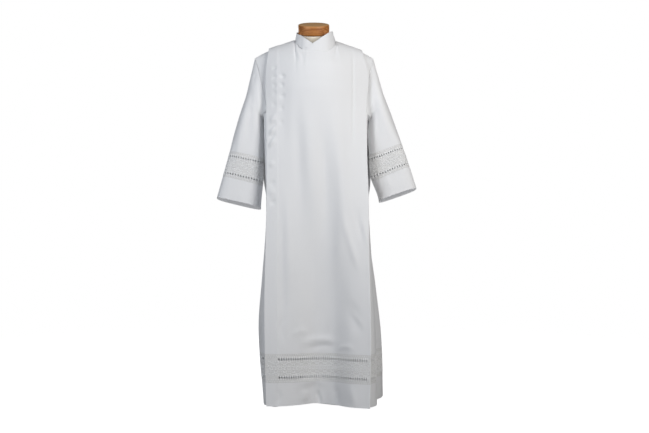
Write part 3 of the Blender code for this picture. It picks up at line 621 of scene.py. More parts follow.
def folds(points, out, creases):
    """How far each point of a cloth stands out of its plain form.

    A crease is (view, depth and width in mm, softness of its ends), then the points of its line:
    across and up in its view, in mm. A positive depth is a ridge and a negative one a trough.
    """
    total = np.zeros(points.shape[:2])
    for view, deep, wide, ease, *line in creases:
        facing, axis = VIEWS[view]
        line = np.array(line, float).reshape(-1, 2) / 1000
        keys = np.arange(len(line))
        at = np.linspace(0, len(line) - 1, 8 * (len(line) - 1) + 1)
        path = np.stack([smooth(keys, line[:, i], at) for i in (0, 1)], axis=1)
        run = run_along(path)
        spot = points[..., (axis, 2)]
        nearest = np.full(spot.shape[:2], np.inf)
        share = np.zeros(spot.shape[:2])
        for a, b, start, end in zip(path, path[1:], run, run[1:]):
            step = b - a
            t = np.clip(((spot - a) @ step) / (step @ step), 0, 1)
            gap = np.linalg.norm(spot - a - t[..., None] * step, axis=-1)
            closer = gap < nearest
            nearest = np.where(closer, gap, nearest)
            share = np.where(closer, (start + t * (end - start)) / run[-1], share)
        rise = np.clip(np.minimum(share, 1 - share) / ease, 0, 1)
        seen = np.clip((out @ np.array(facing)) * 2.0, 0, 1)
        total += 0.001 * deep * np.exp(-(nearest / wide * 1000) ** 2) * smooth_step(rise) * seen
    return total


def eased(values, closed, rounds=4):
    """A grid of directions, each one averaged with its neighbours a few times over."""
    for _ in range(rounds):
        wider = (np.concatenate((values[:, -1:], values, values[:, :1]), axis=1) if closed
                 else np.pad(values, ((0, 0), (1, 1), (0, 0)), mode="edge"))
        values = (wider[:, :-2] + 2 * wider[:, 1:-1] + wider[:, 2:]) / 4
        taller = np.pad(values, ((1, 1), (0, 0), (0, 0)), mode="edge")
        values = (taller[:-2] + 2 * taller[1:-1] + taller[2:]) / 4
    return unit(values, 1e-12)


STRIP_X = -0.1335            # the line of stitches that holds the facing
STRIP_PROUD = 0.0010         # how far the doubled edge stands out
STRIP_STEP = 0.006           # the width in which it does so


def draped(points, creases, closed=False, lift=0.0):
    """A cloth's grid and its outward directions, with its folds in it, moved out by lift."""
    out = eased(normals(points, closed), closed)
    proud = lift + folds(points, out, creases)
    if creases is FRONT_CREASES:
        doubled = np.clip((STRIP_X - points[..., 0]) / STRIP_STEP, 0, 1)
        proud = proud + STRIP_PROUD * smooth_step(doubled)
    points = points + out * proud[..., None]
    return points, normals(points, closed)


def folded(points, where):
    """The grid with a pressed pleat added at its last or first columns."""
    out = normals(points)
    if where == "start":
        points, out = points[:, ::-1], out[:, ::-1]
    edge, edge_out = points[:, -1], out[:, -1]
    away = edge - points[:, -2]
    away = unit(away - edge_out * np.sum(away * edge_out, axis=1, keepdims=True))
    centre = edge - edge_out * FOLD_RADIUS
    turn = np.radians(np.linspace(20, 180, 9))
    added = [centre + FOLD_RADIUS * (edge_out * math.cos(a) + away * math.sin(a)) for a in turn]
    steps = np.linalg.norm(np.diff(points[:, ::-1], axis=1), axis=2)
    inward = (points - out * 2 * FOLD_RADIUS)[:, ::-1]
    for share in np.linspace(0.12, 1.0, 8):
        column = []
        for row in range(len(points)):
            run = np.concatenate(([0], np.cumsum(steps[row])))
            column.append([np.interp(FOLD_DEPTH * share, run, inward[row, :, axis])
                           for axis in range(3)])
        added.append(np.array(column))
    grid = np.concatenate((points, np.stack(added, axis=1)), axis=1)
    return grid[:, ::-1] if where == "start" else grid


# Folds of the front, lace band and hem together, seen from the front.
FRONT_CREASES = [
    ("front", 8.5, 32, 0.42, -36, 1247, -21, 1123, -11, 967, -1, 793, -5, 571),
    ("front", 11, 33, 0.36, 61, 1247, 84, 1103, 103, 929, 115, 754, 103, 571, 96, 404),
    ("front", -3.6, 19, 0.45, -62, 1250, -56, 1050, -52, 890, -50, 640),
    ("front", -3.5, 20, 0.4, 30, 1154, 41, 1006, 49, 812, 45, 618),
    ("front", 4.5, 24, 0.4, -110, 898, -102, 715, -95, 540, -87, 404),
    ("front", 4, 13, 0.38, 115, 789, 131, 703, 154, 618, 185, 513),
    ("front", 2.5, 11, 0.4, 185, 758, 201, 688, 208, 618),
    ("front", -2.5, 12, 0.4, 162, 793, 177, 711, 197, 633),
    ("front", 1.6, 26, 0.35, -122, 1333, 18, 1348, 166, 1333),
    ("front", -1.6, 22, 0.35, -114, 1263, 18, 1278, 166, 1263),
    ("front", -1.6, 6, 0.4, -79, 1414, -67, 1383, -60, 1340),
    ("front", 0.7, 6, 0.4, -64, 1410, -56, 1379, -50, 1348),
    ("front", -1.6, 6, 0.4, -48, 1399, -40, 1367, -38, 1325),
    ("front", 1.2, 5, 0.4, -29, 1395, -21, 1364),
    ("front", -1.8, 4, 0.15, 152, 1410, 152, 1278, 152, 1142, 154, 1006),
    ("front", -2, 20, 0.35, -112, 1360, -112, 1239, -114, 1123, -116, 960),
    ("front", 4, 14, 0.45, -70, 256, -10, 264, 40, 268, 120, 260),
    ("front", -2.0, 8, 0.42, -56, 226, 0, 237, 50, 243, 110, 238),
    ("front", 2.4, 9, 0.4, 96, 226, 131, 245, 173, 229),
    ("front", 2, 11, 0.4, -91, 280, -56, 303, -17, 296),
    ("front", -4.5, 24, 0.42, 136, 440, 160, 360, 182, 275),
    ("front", 2, 12, 0.4, 131, 404, 173, 354, 208, 307),
    ("front", -2, 12, 0.4, -110, 377, -126, 315, -110, 249),
    ("front", 3.5, 17, 0.4, -87, 84, -44, 100, 0, 106, 40, 98, 75, 80),
    ("front", -5, 9, 0.4, 14, 74, 20, 39, 26, 0),
    ("front", -3.5, 15, 0.4, 84, 97, 96, 55, 100, 4),
    ("front", 2.2, 13, 0.4, 146, 101, 158, 51, 158, 8),
    ("front", 2.4, 13, 0.4, -36, 78, -40, 20),
    ("front", -2.2, 10, 0.4, -145, 86, -134, 51, -145, 12),
    ("front", -3.5, 15, 0.3, -119, 860, -119, 560, -117, 260),
    ("front", -4.5, 7.5, 0.48, -134, 1302, -104, 1290),
    ("front", -4, 6.5, 0.48, -134, 1266, -108, 1257),
    ("front", -4, 7, 0.48, -134, 1222, -104, 1214),
    ("front", -3.5, 6.5, 0.48, -134, 1175, -110, 1167),
    ("front", -2.5, 7, 0.48, -134, 1120, -112, 1110),
    ("front", -3, 5.5, 0.48, -162, 1328, -136, 1334),
    ("front", -3, 5, 0.48, -162, 1290, -136, 1296),
    ("front", -3, 5, 0.48, -160, 1258, -136, 1264),
    ("front", -3, 5, 0.48, -160, 1227, -136, 1234),
    ("front", -3.5, 6, 0.48, -164, 1182, -136, 1192),
    ("front", 5, 7, 0.45, -172, 1112, -138, 1143),
    ("front", -3, 6, 0.45, -172, 1090, -140, 1120),
    ("front", 5, 7, 0.45, -174, 1064, -140, 1100),
    ("front", -3, 6, 0.45, -174, 1042, -142, 1078),
    ("front", 6, 7, 0.45, -176, 1012, -140, 1058),
    ("front", 3.5, 8, 0.45, -174, 944, -144, 960),
    ("front", -3, 8, 0.45, -174, 868, -142, 884),
    ("front", 3.5, 8, 0.45, -174, 834, -144, 852),
    ("front", -3.5, 9, 0.45, -174, 796, -140, 812),
]
FRONT_COLUMNS = np.linspace(0, PANEL_LAST, 151)
BODY_LEVELS = np.concatenate((np.linspace(level(LACE_TOP_Z + SEAM), 0, 130),
                              np.linspace(0, 1, 47)[1:]))


CLOTH_PITCH = 0.0009
plain_weave = weave(CLOTH_PITCH, 0.7, (5.0, 3.0), (0.8, 0.10), (0.22, 0.00025),
                    ((0.765, 0.770, 0.785), (0.805, 0.810, 0.820)))
SOFT_SHEEN = {"Roughness": 0.88, "Sheen Weight": 0.15, "Sheen Roughness": 0.5}
alb_cloth = material("white_cloth", SOFT_SHEEN, plain_weave)


def cloth_piece(name, points, node, keep=None, closed=False, paint=alb_cloth):
    """A thin shell laid inward from a grid of outside points, in place of a plain solid."""
    mesh = grid_mesh(name, points, keep, closed)
    mesh.materials.append(paint)
    piece = linked(name, mesh)
    wall = piece.modifiers.new("wall", "SOLIDIFY")
    wall.thickness = WALL
    wall.offset = -1
    wall.use_even_offset = False
    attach(piece, "root")
    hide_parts(*([node] if isinstance(node, str) else node))
    return piece


front_points, front_out = draped(FRONT.layer(FRONT_COLUMNS, BODY_LEVELS), FRONT_CREASES, lift=LAYER)
front_cloth = cloth_piece("front_cloth", folded(front_points, "end"), "front_panel")


# ================================================================ lace bands
# Each band is one woven strip with two open ladder rows: threads drawn out and the rest
# gathered into little posts. Satin-stitched sprays fill the cloth between the rows, and close
# upright stitches edge it above and below.
LADDER_ROWS_Z = (0.1234, 0.1940)   # middles of the two open rows round the hem
LADDER_PITCH = 0.0090
LADDER_GAP_WIDE = 0.0052
LADDER_GAP_TALL = 0.0086
POST_FOOT, POST_WAIST = 0.0068, 0.0059
POST_FLATNESS = 0.45         # thickness of a post over its width
POST_HOLD = 0.0022           # how far a post runs into the cloth, both ends together
PATTERN_TALL = 0.062         # height between the ladder rows that the spray pattern is drawn for
FACING_WIDE = 0.046
# Half length, width and thickness of the upright stitches along the open rows and at the edges.
ROW_STITCH, EDGE_STITCH = (0.0032, 0.0017, 0.0009), (0.0023, 0.0017, 0.0006)
ROW_STITCH_OFF = 0.0036      # from the edge of an open row to the middle of its stitches
ROW_STITCH_SHIFT = 0.04      # how far they lie past the middle of a post, as a share of the pitch
EDGE_STITCH_IN = 0.0040      # from the edge of the band to the middle of its stitches
SPRAY_HALF_THICK = 0.0010
STITCH_PITCH, STITCH_LONG, STITCH_THICK = 0.0027, 0.8, 0.0006    # its length is a share of pitch
BAND_ROWS = (5, 2, 22, 2, 5)       # rows of cells below, in, between, in and above the open rows
PLAIN_STEP = 0.003           # width of a cell at the ends of a band


def on_cloth(points, rows, columns):
    """Values of a grid at fractional rows and columns."""
    r = np.clip(np.asarray(rows, float), 0, points.shape[0] - 1.000001)
    c = np.clip(np.asarray(columns, float), 0, points.shape[1] - 1.000001)
    r0, c0 = r.astype(int), c.astype(int)
    fr, fc = (r - r0)[..., None], (c - c0)[..., None]
    return ((1 - fr) * ((1 - fc) * points[r0, c0] + fc * points[r0, c0 + 1])
            + fr * ((1 - fc) * points[r0 + 1, c0] + fc * points[r0 + 1, c0 + 1]))


def thread_tree(name, sizes, lay):
    """Geometry Nodes tree that lays thread along its points; lay(start, given) places it."""
    tree = bpy.data.node_groups.new(name, "GeometryNodeTree")
    kinds = {"Geometry": "NodeSocketGeometry", **dict.fromkeys(sizes, "NodeSocketFloat"),
             "Thread": "NodeSocketMaterial"}
    for label, kind in kinds.items():
        tree.interface.new_socket(label, in_out="INPUT", socket_type=kind)
    tree.interface.new_socket("Geometry", in_out="OUTPUT", socket_type="NodeSocketGeometry")
    entry = tree.nodes.new("NodeGroupInput")
    given = {label: Shade(tree, entry.outputs[label]) for label in kinds}
    start = Shade(tree)
    real = start.node("GeometryNodeRealizeInstances", sockets={"Geometry": lay(start, given)})
    soft = start.node("GeometryNodeSetShadeSmooth", sockets={"Geometry": real})
    dyed = start.node("GeometryNodeSetMaterial",
                      sockets={"Geometry": soft, "Material": given["Thread"]})
    leave = tree.nodes.new("NodeGroupOutput")
    tree.links.new(dyed.socket, leave.inputs["Geometry"])
    return tree


def named(start, name):
    return start.node("GeometryNodeInputNamedAttribute", {"data_type": "FLOAT_VECTOR"},
                      {"Name": name}, output="Attribute")


def on_points(start, points, shape, along, **more):
    """The shape on every point, its length turned along a direction and its face turned out."""
    turn = start.node("FunctionNodeAxesToRotation", {"primary_axis": "X", "secondary_axis": "Z"},
                      {"Primary Axis": along, "Secondary Axis": named(start, "out")})
    return start.node("GeometryNodeInstanceOnPoints", sockets={
        "Points": points, "Instance": shape, "Rotation": turn, **more})


def raised_stitches(start, given):
    """Small raised stitches, one on each point, turned by the point's own directions."""
    pad = start.node("GeometryNodeMeshIcoSphere", sockets={"Radius": 1.0, "Subdivisions": 1})
    return on_points(start, given["Geometry"], pad, named(start, "along"),
                     Scale=named(start, "half_size"))


def gathered_posts(start, given):
    """Gathered thread posts of a ladder row, narrow in the middle, one on each point."""
    tube = start.node("GeometryNodeMeshCylinder", {"fill_type": "NGON"}, {
        "Vertices": 7, "Side Segments": 4, "Radius": 1.0, "Depth": given["Tall"]})
    x = start.node("ShaderNodeSeparateXYZ",
                   sockets={"Vector": start.node("GeometryNodeInputPosition")})
    y, z = x.other(1), x.other(2)
    from_waist = start.sum("DIVIDE", z, given["Tall"] * 0.5)
    radius = (given["Waist"] + (given["Wide"] - given["Waist"]) * (from_waist * from_waist)) * 0.5
    shaped = start.node("GeometryNodeSetPosition", sockets={
        "Geometry": tube, "Position": start.node("ShaderNodeCombineXYZ", sockets={
            "X": z, "Y": x * radius, "Z": y * radius * POST_FLATNESS})})
    return on_points(start, given["Geometry"], shaped, named(start, "along"))


def machine_stitches(start, given):
    """Machine stitches laid end to end along paths."""
    path = start.node("GeometryNodeMeshToCurve", sockets={"Mesh": given["Geometry"]})
    marks = start.node("GeometryNodeResampleCurve", {"mode": "LENGTH"},
                       {"Curve": path, "Length": given["Pitch"]})
    pad = start.node("GeometryNodeMeshIcoSphere", sockets={"Radius": 0.5, "Subdivisions": 1})
    sized = start.node("GeometryNodeTransform", sockets={
        "Geometry": pad, "Scale": start.node("ShaderNodeCombineXYZ", sockets={
            "X": given["Long"], "Y": given["Thick"], "Z": given["Thick"]})})
    return on_points(start, marks, sized, start.node("GeometryNodeInputTangent"))


SEWN = thread_tree("raised_stitches", (), raised_stitches)
POSTS = thread_tree("ladder_posts", ("Tall", "Wide", "Waist"), gathered_posts)
STITCHES = thread_tree("machine_stitches", ("Pitch", "Long", "Thick"), machine_stitches)


def grown(name, points, chains, attributes, tree, sizes):
    """Run a Geometry Nodes tree on points, or on chains of them, and keep the plain mesh."""
    host_mesh = bpy.data.meshes.new(name + "_marks")
    edges = [(i, i + 1) for first, last in chains for i in range(first, last - 1)]
    host_mesh.from_pydata(np.asarray(points).tolist(), edges, [])
    for label, values in attributes.items():
        layer = host_mesh.attributes.new(label, "FLOAT_VECTOR", "POINT")
        layer.data.foreach_set("vector", np.asarray(values, np.float32).ravel())
    host = linked(name, host_mesh)
    modifier = host.modifiers.new("grown", "NODES")
    modifier.node_group = tree
    for item in tree.interface.items_tree:
        if item.name in sizes:
            modifier[item.identifier] = sizes[item.name]
    graph = bpy.context.evaluated_depsgraph_get()
    made = bpy.data.meshes.new_from_object(host.evaluated_get(graph))
    host.modifiers.remove(modifier)
    host.data = made
    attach(host, "root")
    return host


def thread(start):
    twist = grain(start, 900.0)
    return {"Base Color": twist.mixed((0.83, 0.835, 0.84), (0.87, 0.875, 0.88)),
            "Normal": raised(start, twist, 0.2, 0.0002)}


white_thread = material("white_thread", {"Roughness": 0.62, "Sheen Weight": 0.2}, thread)


def stitched(name, lines):
    """A line of machine stitches along each (points, outward directions) path."""
    points = np.concatenate([line for line, _ in lines])
    out = np.concatenate([outward for _, outward in lines])
    ends = np.cumsum([0] + [len(line) for line, _ in lines])
    return grown(name, points, list(zip(ends, ends[1:])), {"out": out}, STITCHES,
                 {"Pitch": STITCH_PITCH, "Long": STITCH_PITCH * STITCH_LONG,
                  "Thick": STITCH_THICK, "Thread": white_thread})


def upright_line(points, out, x):
    """The line up a panel's grid at one distance across, and its outward directions."""
    rows = np.arange(len(points))
    columns = np.array([np.interp(x, row[:, 0], np.arange(len(row))) for row in points])
    return on_cloth(points, rows, columns), on_cloth(out, rows, columns)


def spray():
    """One repeat of the satin-stitched pattern: x, z, turn, half length and half width of each."""
    drawn = []
    for k in range(8):
        a = k * math.pi / 4
        drawn.append((0.0062 * math.cos(a), 0.0062 * math.sin(a), a, 0.0034, 0.0020))
    for k in range(10):
        a = k * math.pi / 5
        drawn.append((0.0118 * math.cos(a), 0.0118 * math.sin(a), a + math.pi / 2, 0.0032, 0.0014))
    for side in (-1, 1):
        for k in range(8):
            x = (k + 0.5) / 8 * SPRAY_WIDE - SPRAY_WIDE / 2
            sweep = 2 * math.pi * x / SPRAY_WIDE
            rise = math.atan2(-side * 0.0030 * 2 * math.pi / SPRAY_WIDE * math.sin(sweep), 1)
            drawn.append((x, side * (0.0195 + 0.0030 * math.cos(sweep)), rise, 0.0028, 0.0015))
        for lean in (-1, 1):
            drawn.append((lean * 0.0125, side * 0.0132, lean * side * 0.7, 0.0044, 0.0020))
            drawn.append((lean * 0.0150, side * 0.0050, lean * side * -0.9, 0.0042, 0.0019))
            drawn.append((lean * 0.0062, side * 0.0262, lean * side * -0.4, 0.0040, 0.0016))
        drawn.append((SPRAY_WIDE / 2, side * 0.0245, 0.0, 0.0024, 0.0020))
    drawn.append((0.0, 0.0, 0.0, 0.0017, 0.0017))
    drawn.append((SPRAY_WIDE / 2, 0.0, 0.0, 0.0020, 0.0020))
    return drawn


SPRAY_WIDE = 0.034
SPRAY = spray()


LACE_PITCH = 0.0012
# Painted shade: the bands' ground cloth is darker than the plain cloth, standing in for the shade in
# the tiny eyelets between its threads.
lace_cloth = material("lace_ground", {"Roughness": 0.9, "Sheen Weight": 0.1}, weave(
    LACE_PITCH, 0.6, (70.0, 2.0), (0.9, 0.08), (0.3, 0.0003),
    ((0.640, 0.640, 0.638), (0.760, 0.760, 0.755))))


class Band:
    """A lace band laid along a line of the cloth: its grid, folds, open rows and embroidery."""

    def __init__(self, surface, key_range, rows_z, span_z, plain, most_gaps=1000, spare_before=0.5,
                 closed=False, tall=LADDER_GAP_TALL):
        """surface(keys, heights) gives the band's plain points; plain is the uncut cloth's ends."""
        bottom, top = span_z
        half = tall / 2
        self.tall = tall
        marks = (bottom, rows_z[0] - half, rows_z[0] + half, rows_z[1] - half, rows_z[1] + half, top)
        self.levels = np.concatenate([np.linspace(a, b, n, endpoint=False)
                                      for a, b, n in zip(marks, marks[1:], BAND_ROWS)] + [[top]])
        self.open_rows = (BAND_ROWS[0], sum(BAND_ROWS[:3]))
        self.rows_z = rows_z
        keys = np.linspace(*key_range, 400)
        run = run_along(surface(keys, np.full_like(keys, bottom)))
        length = run[-1]
        self.gaps = min(most_gaps, int((length - sum(plain)) / LADDER_PITCH))
        pitch = LADDER_PITCH if not closed else length / self.gaps
        spare = length - sum(plain) - self.gaps * pitch
        self.start = plain[0] + spare * spare_before
        self.pitch = pitch
        gap = pitch * LADDER_GAP_WIDE / LADDER_PITCH
        stops = []
        if not closed:
            before = max(2, int(self.start / PLAIN_STEP))
            stops.append(np.linspace(0, self.start, before, endpoint=False))
        for i in range(self.gaps):
            left = self.start + i * pitch
            stops.append([left, left + gap / 2, left + gap, (left + gap + left + pitch) / 2])
        end = self.start + self.gaps * pitch
        if not closed:
            stops.append(np.linspace(end, length, max(2, int((length - end) / PLAIN_STEP) + 1)))
        self.edges = np.concatenate(stops)
        at = np.interp(self.edges, run, keys)
        k, z = np.meshgrid(at, self.levels)
        self.points = surface(k, z)
        self.length = length
        self.shift = 0
        self.closed = closed

    def dress(self, creases, lift=0.0, fold_ends=()):
        """Put in the folds, then press pleats on the ends that have them."""
        self.points, self.out = draped(self.points, creases, self.closed, lift)
        self.plain_points = self.points
        for where in fold_ends:
            before = self.points.shape[1]
            self.points = folded(self.points, where)
            if where == "start":
                self.shift = self.points.shape[1] - before

    def keep(self):
        """Cells that hold cloth: all but the open rows between the first and last gap."""
        rows, columns = self.points.shape[:2]
        keep = np.ones((rows - 1, columns if self.closed else columns - 1), bool)
        first = self.shift + int(np.searchsorted(self.edges, self.start - 1e-9))
        last = first + 4 * self.gaps
        for row in self.open_rows:
            keep[row:row + 2, first:last] = False
        return keep

    def at(self, along, height):
        """Points, outward and upward directions at distances along the band and heights."""
        edges, grid, out = self.edges, self.plain_points, self.out
        if self.closed:
            edges = np.append(edges, self.length)
            grid = np.concatenate((grid, grid[:, :1]), axis=1)
            out = np.concatenate((out, out[:, :1]), axis=1)
            along = np.mod(along, self.length)
        column = np.interp(along, edges, np.arange(len(edges)))
        row = np.interp(height, self.levels, np.arange(len(self.levels)))
        step = 0.5
        upward = on_cloth(grid, row + step, column) - on_cloth(grid, row - step, column)
        sideways = on_cloth(grid, row, column + step) - on_cloth(grid, row, column - step)
        return (on_cloth(grid, row, column), on_cloth(out, row, column),
                unit(upward), unit(sideways))

    def posts(self, name):
        """The gathered posts between the gaps, and the half-posts at both ends."""
        gap_share = LADDER_GAP_WIDE / LADDER_PITCH
        middles = self.start + (np.arange(self.gaps) + (1 + gap_share) / 2) * self.pitch
        along = np.tile(middles, 2)
        height = np.repeat(self.rows_z, self.gaps)
        place, out, upward, _ = self.at(along, height)
        return grown(name, place - out * WALL / 2, (), {"along": upward, "out": out}, POSTS,
                     {"Tall": self.tall + POST_HOLD, "Wide": POST_FOOT, "Waist": POST_WAIST,
                      "Thread": white_thread})

    def embroidery(self, name):
        """Upright hemming stitches along the open rows, and the sprays between them."""
        low, high = self.start, self.start + self.gaps * self.pitch
        marks = []                # along, height, turn, half length, half width, half thickness
        half, beat = self.tall / 2, self.pitch / 2
        before, after = ((0, 0) if self.closed else
                         (int((low - PLAIN_STEP) / beat),
                          int((self.length - PLAIN_STEP - high) / beat)))
        beats = low + beat * (np.arange(-before, 2 * self.gaps + after) + 0.5)
        low, high = low - before * beat, high + after * beat
        for row_z in self.rows_z:
            for side in (-1, 1):
                for along in beats[1::2] + ROW_STITCH_SHIFT * self.pitch:
                    marks.append((along, row_z + side * (half + ROW_STITCH_OFF), math.pi / 2,
                                  *ROW_STITCH))
        for z in (self.levels[0] + EDGE_STITCH_IN, self.levels[-1] - EDGE_STITCH_IN):
            for along in beats[::2]:
                marks.append((along, z, math.pi / 2, *EDGE_STITCH))
        middle = sum(self.rows_z) / 2
        squeeze = (self.rows_z[1] - self.rows_z[0] - self.tall) / PATTERN_TALL
        repeats = max(1, round((high - low) / SPRAY_WIDE))
        step = (high - low) / repeats
        for i in range(repeats):
            centre = low + (i + 0.5) * step
            for x, z, turn, long, wide in SPRAY:
                marks.append((centre + x * step / SPRAY_WIDE, middle + z * squeeze, turn,
                              long, wide, SPRAY_HALF_THICK))
        marks = np.array(marks)
        place, out, upward, sideways = self.at(marks[:, 0], marks[:, 1])
        angle = marks[:, 2:3]
        along = sideways * np.cos(angle) + upward * np.sin(angle)
        return grown(name, place, (), {"along": along, "out": out,
                                               "half_size": marks[:, 3:6]}, SEWN,
                     {"Thread": white_thread})


def lace_piece(band, name, node, creases, lift=0.0, fold_ends=()):
    """One finished band: woven cloth, posts and embroidery."""
    band.dress(creases, lift, fold_ends)
    cloth = cloth_piece(name, band.points, node, band.keep(), band.closed, lace_cloth)
    band.posts(name + "_posts")
    band.embroidery(name + "_embroidery")
    return band


def panel_surface(face):
    """Plain points of a panel below the chest at shares across and heights."""
    def surface(share, z):
        x = face.across(share, z)
        return np.stack((x, face.depth(x, z), z), axis=-1)
    return surface


front_band = lace_piece(
    Band(panel_surface(FRONT), (0, 1), LADDER_ROWS_Z, (HEM_TOP_Z, LACE_TOP_Z),
         (FACING_WIDE, 0.004), 43),
    "front_lace_cloth", "front_lace", FRONT_CREASES, LAYER, ("end",))


# ================================================================ the over-front's hem
# A deep plain hem, turned up inside and sewn to the lace band. Its lowest edge is a little
# higher in the middle, where the panel hollows.
HEM_RISE = 0.004
HEM_RISE_HALF_WIDE = 0.12


def risen(points):
    """The hem's points with the lowest rows raised a little in the middle."""
    middle = np.clip(1 - np.abs(points[..., 0] / HEM_RISE_HALF_WIDE), 0, 1)
    near = np.clip((HEM_TOP_Z - points[..., 2]) / (HEM_TOP_Z - HEM_Z), 0, 1)
    points[..., 2] += HEM_RISE * middle * near**2
    return points


hem_z = np.linspace(HEM_Z, HEM_TOP_Z - SEAM, 26)
k, z = np.meshgrid(np.linspace(0, 1, len(FRONT_COLUMNS)), hem_z)
hem_points, hem_out = draped(risen(panel_surface(FRONT)(k, z)), FRONT_CREASES, lift=LAYER)
front_hem = cloth_piece("front_hem_cloth", folded(hem_points, "end"), "front_hem")
stitched("front_hem_stitches", [(hem_points[-2], hem_out[-2])])


# ================================================================ the facing strip
# A strip of the same cloth behind the over-front's free edge, from the hem to the shoulder,
# held by one line of machine stitches that shows down the front.
FACING_BEHIND = WALL + 0.0014      # how far the facing lies behind the panel's face
STRIP_COLUMNS = np.linspace(0, 2, 13)

low_z = np.linspace(HEM_Z, LACE_TOP_Z, 34)
k, z = np.meshgrid(low_share(STRIP_COLUMNS), low_z)
low_strip = panel_surface(FRONT)(k, z)
high_strip = FRONT.layer(STRIP_COLUMNS, BODY_LEVELS[1:])
strip, strip_out = draped(np.concatenate((low_strip, high_strip)), FRONT_CREASES, lift=LAYER)
strip = strip - strip_out * FACING_BEHIND
strip[:, 0] += (strip[:, 1] - strip[:, 0]) * 0.1
facing = cloth_piece("facing_strip", strip, "front_facing")
seam_lines = [upright_line(front_points, front_out, STRIP_X),
              upright_line(hem_points, hem_out, STRIP_X)]
half_gap = front_band.tall / 2 + 0.001
for low, high in ((HEM_TOP_Z, LADDER_ROWS_Z[0] - half_gap),
                  (LADDER_ROWS_Z[0] + half_gap, LADDER_ROWS_Z[1] - half_gap),
                  (LADDER_ROWS_Z[1] + half_gap, LACE_TOP_Z)):
    rows = (front_band.levels >= low) & (front_band.levels <= high)
    seam_lines.append(upright_line(front_band.plain_points[rows], front_band.out[rows], STRIP_X))
facing_stitches = stitched("facing_stitches", seam_lines)


# ================================================================ the back
# One length of cloth like the front, with a pressed pleat down each edge, its own lace band and
# its own plain hem.
BACK_EDGES = table(
    "z leading pleat",
    (0.00, 0.2350, -0.1700),
    (0.30, 0.2300, -0.1750),
    (0.60, 0.1950, -0.1650),
    (1.00, 0.1850, -0.1600),
    (1.24, 0.1850, -0.1650),
    (1.42, 0.1780, -0.1700))
BACK_X = (-0.18, -0.12, -0.04, 0.04, 0.12, 0.18, 0.25)
BACK_Y = table(
    "z far_right right mid_right centre mid_left left far_left",
    (0.00, 0.148, 0.142, 0.118, 0.120, 0.142, 0.152, 0.160),
    (0.35, 0.128, 0.130, 0.112, 0.112, 0.130, 0.136, 0.140),
    (0.75, 0.100, 0.106, 0.098, 0.098, 0.106, 0.102, 0.098),
    (1.00, 0.070, 0.086, 0.092, 0.092, 0.086, 0.068, 0.040),
    (1.24, 0.028, 0.062, 0.085, 0.085, 0.060, 0.025, -0.010))
BACK = Face(+1, BACK_X, BACK_Y, BACK_EDGES, neck_reach=0.072, neck_squareness=2.4)
BACK_CREASES = [
    ("back", 6, 30, 0.4, -60, 1150, -55, 850, -58, 550, -70, 360),
    ("back", 7, 34, 0.4, 50, 1180, 62, 900, 70, 620, 66, 380),
    ("back", -4, 22, 0.4, 4, 1050, 0, 740, -12, 420),
    ("back", -3, 18, 0.4, 120, 1100, 125, 820, 118, 520),
    ("back", 4, 15, 0.4, -118, 900, -104, 780, -80, 660),
    ("back", 3, 14, 0.4, 152, 840, 136, 720, 112, 620),
    ("back", -2, 10, 0.4, -140, 1360, -112, 1310, -92, 1240),
    ("back", -2, 10, 0.4, 140, 1360, 115, 1300, 98, 1220),
    ("back", 2, 24, 0.4, -100, 1330, 0, 1350, 100, 1330),
    ("back", 5, 12, 0.45, -75, 262, -20, 272, 35, 258),
    ("back", -4, 10, 0.45, -70, 232, -18, 240, 32, 230),
    ("back", 3, 13, 0.4, -110, 110, -115, 60, -110, 15),
    ("back", -4, 9, 0.4, 30, 98, 26, 60, 30, 12),
    ("back", 3, 14, 0.4, 80, 104, 86, 60, 82, 12),
]

BACK_COLUMNS = np.linspace(0, PANEL_LAST, 141)

back_points, back_out = draped(BACK.layer(BACK_COLUMNS, BODY_LEVELS), BACK_CREASES, lift=LAYER)
back_cloth = cloth_piece("back_cloth", folded(folded(back_points, "end"), "start"), "back_panel")
lace_piece(Band(panel_surface(BACK), (0, 1), LADDER_ROWS_Z, (HEM_TOP_Z, LACE_TOP_Z),
                (0.012, 0.012), 38),
           "back_lace_cloth", "back_lace", BACK_CREASES, LAYER,
           ("end", "start"))
k, z = np.meshgrid(np.linspace(0, 1, len(BACK_COLUMNS)), hem_z)
back_hem_points, back_hem_out = draped(panel_surface(BACK)(k, z), BACK_CREASES, lift=LAYER)
back_hem = cloth_piece("back_hem_cloth", folded(folded(back_hem_points, "end"), "start"), "back_hem")
stitched("back_hem_stitches", [(back_hem_points[-2], back_hem_out[-2])])


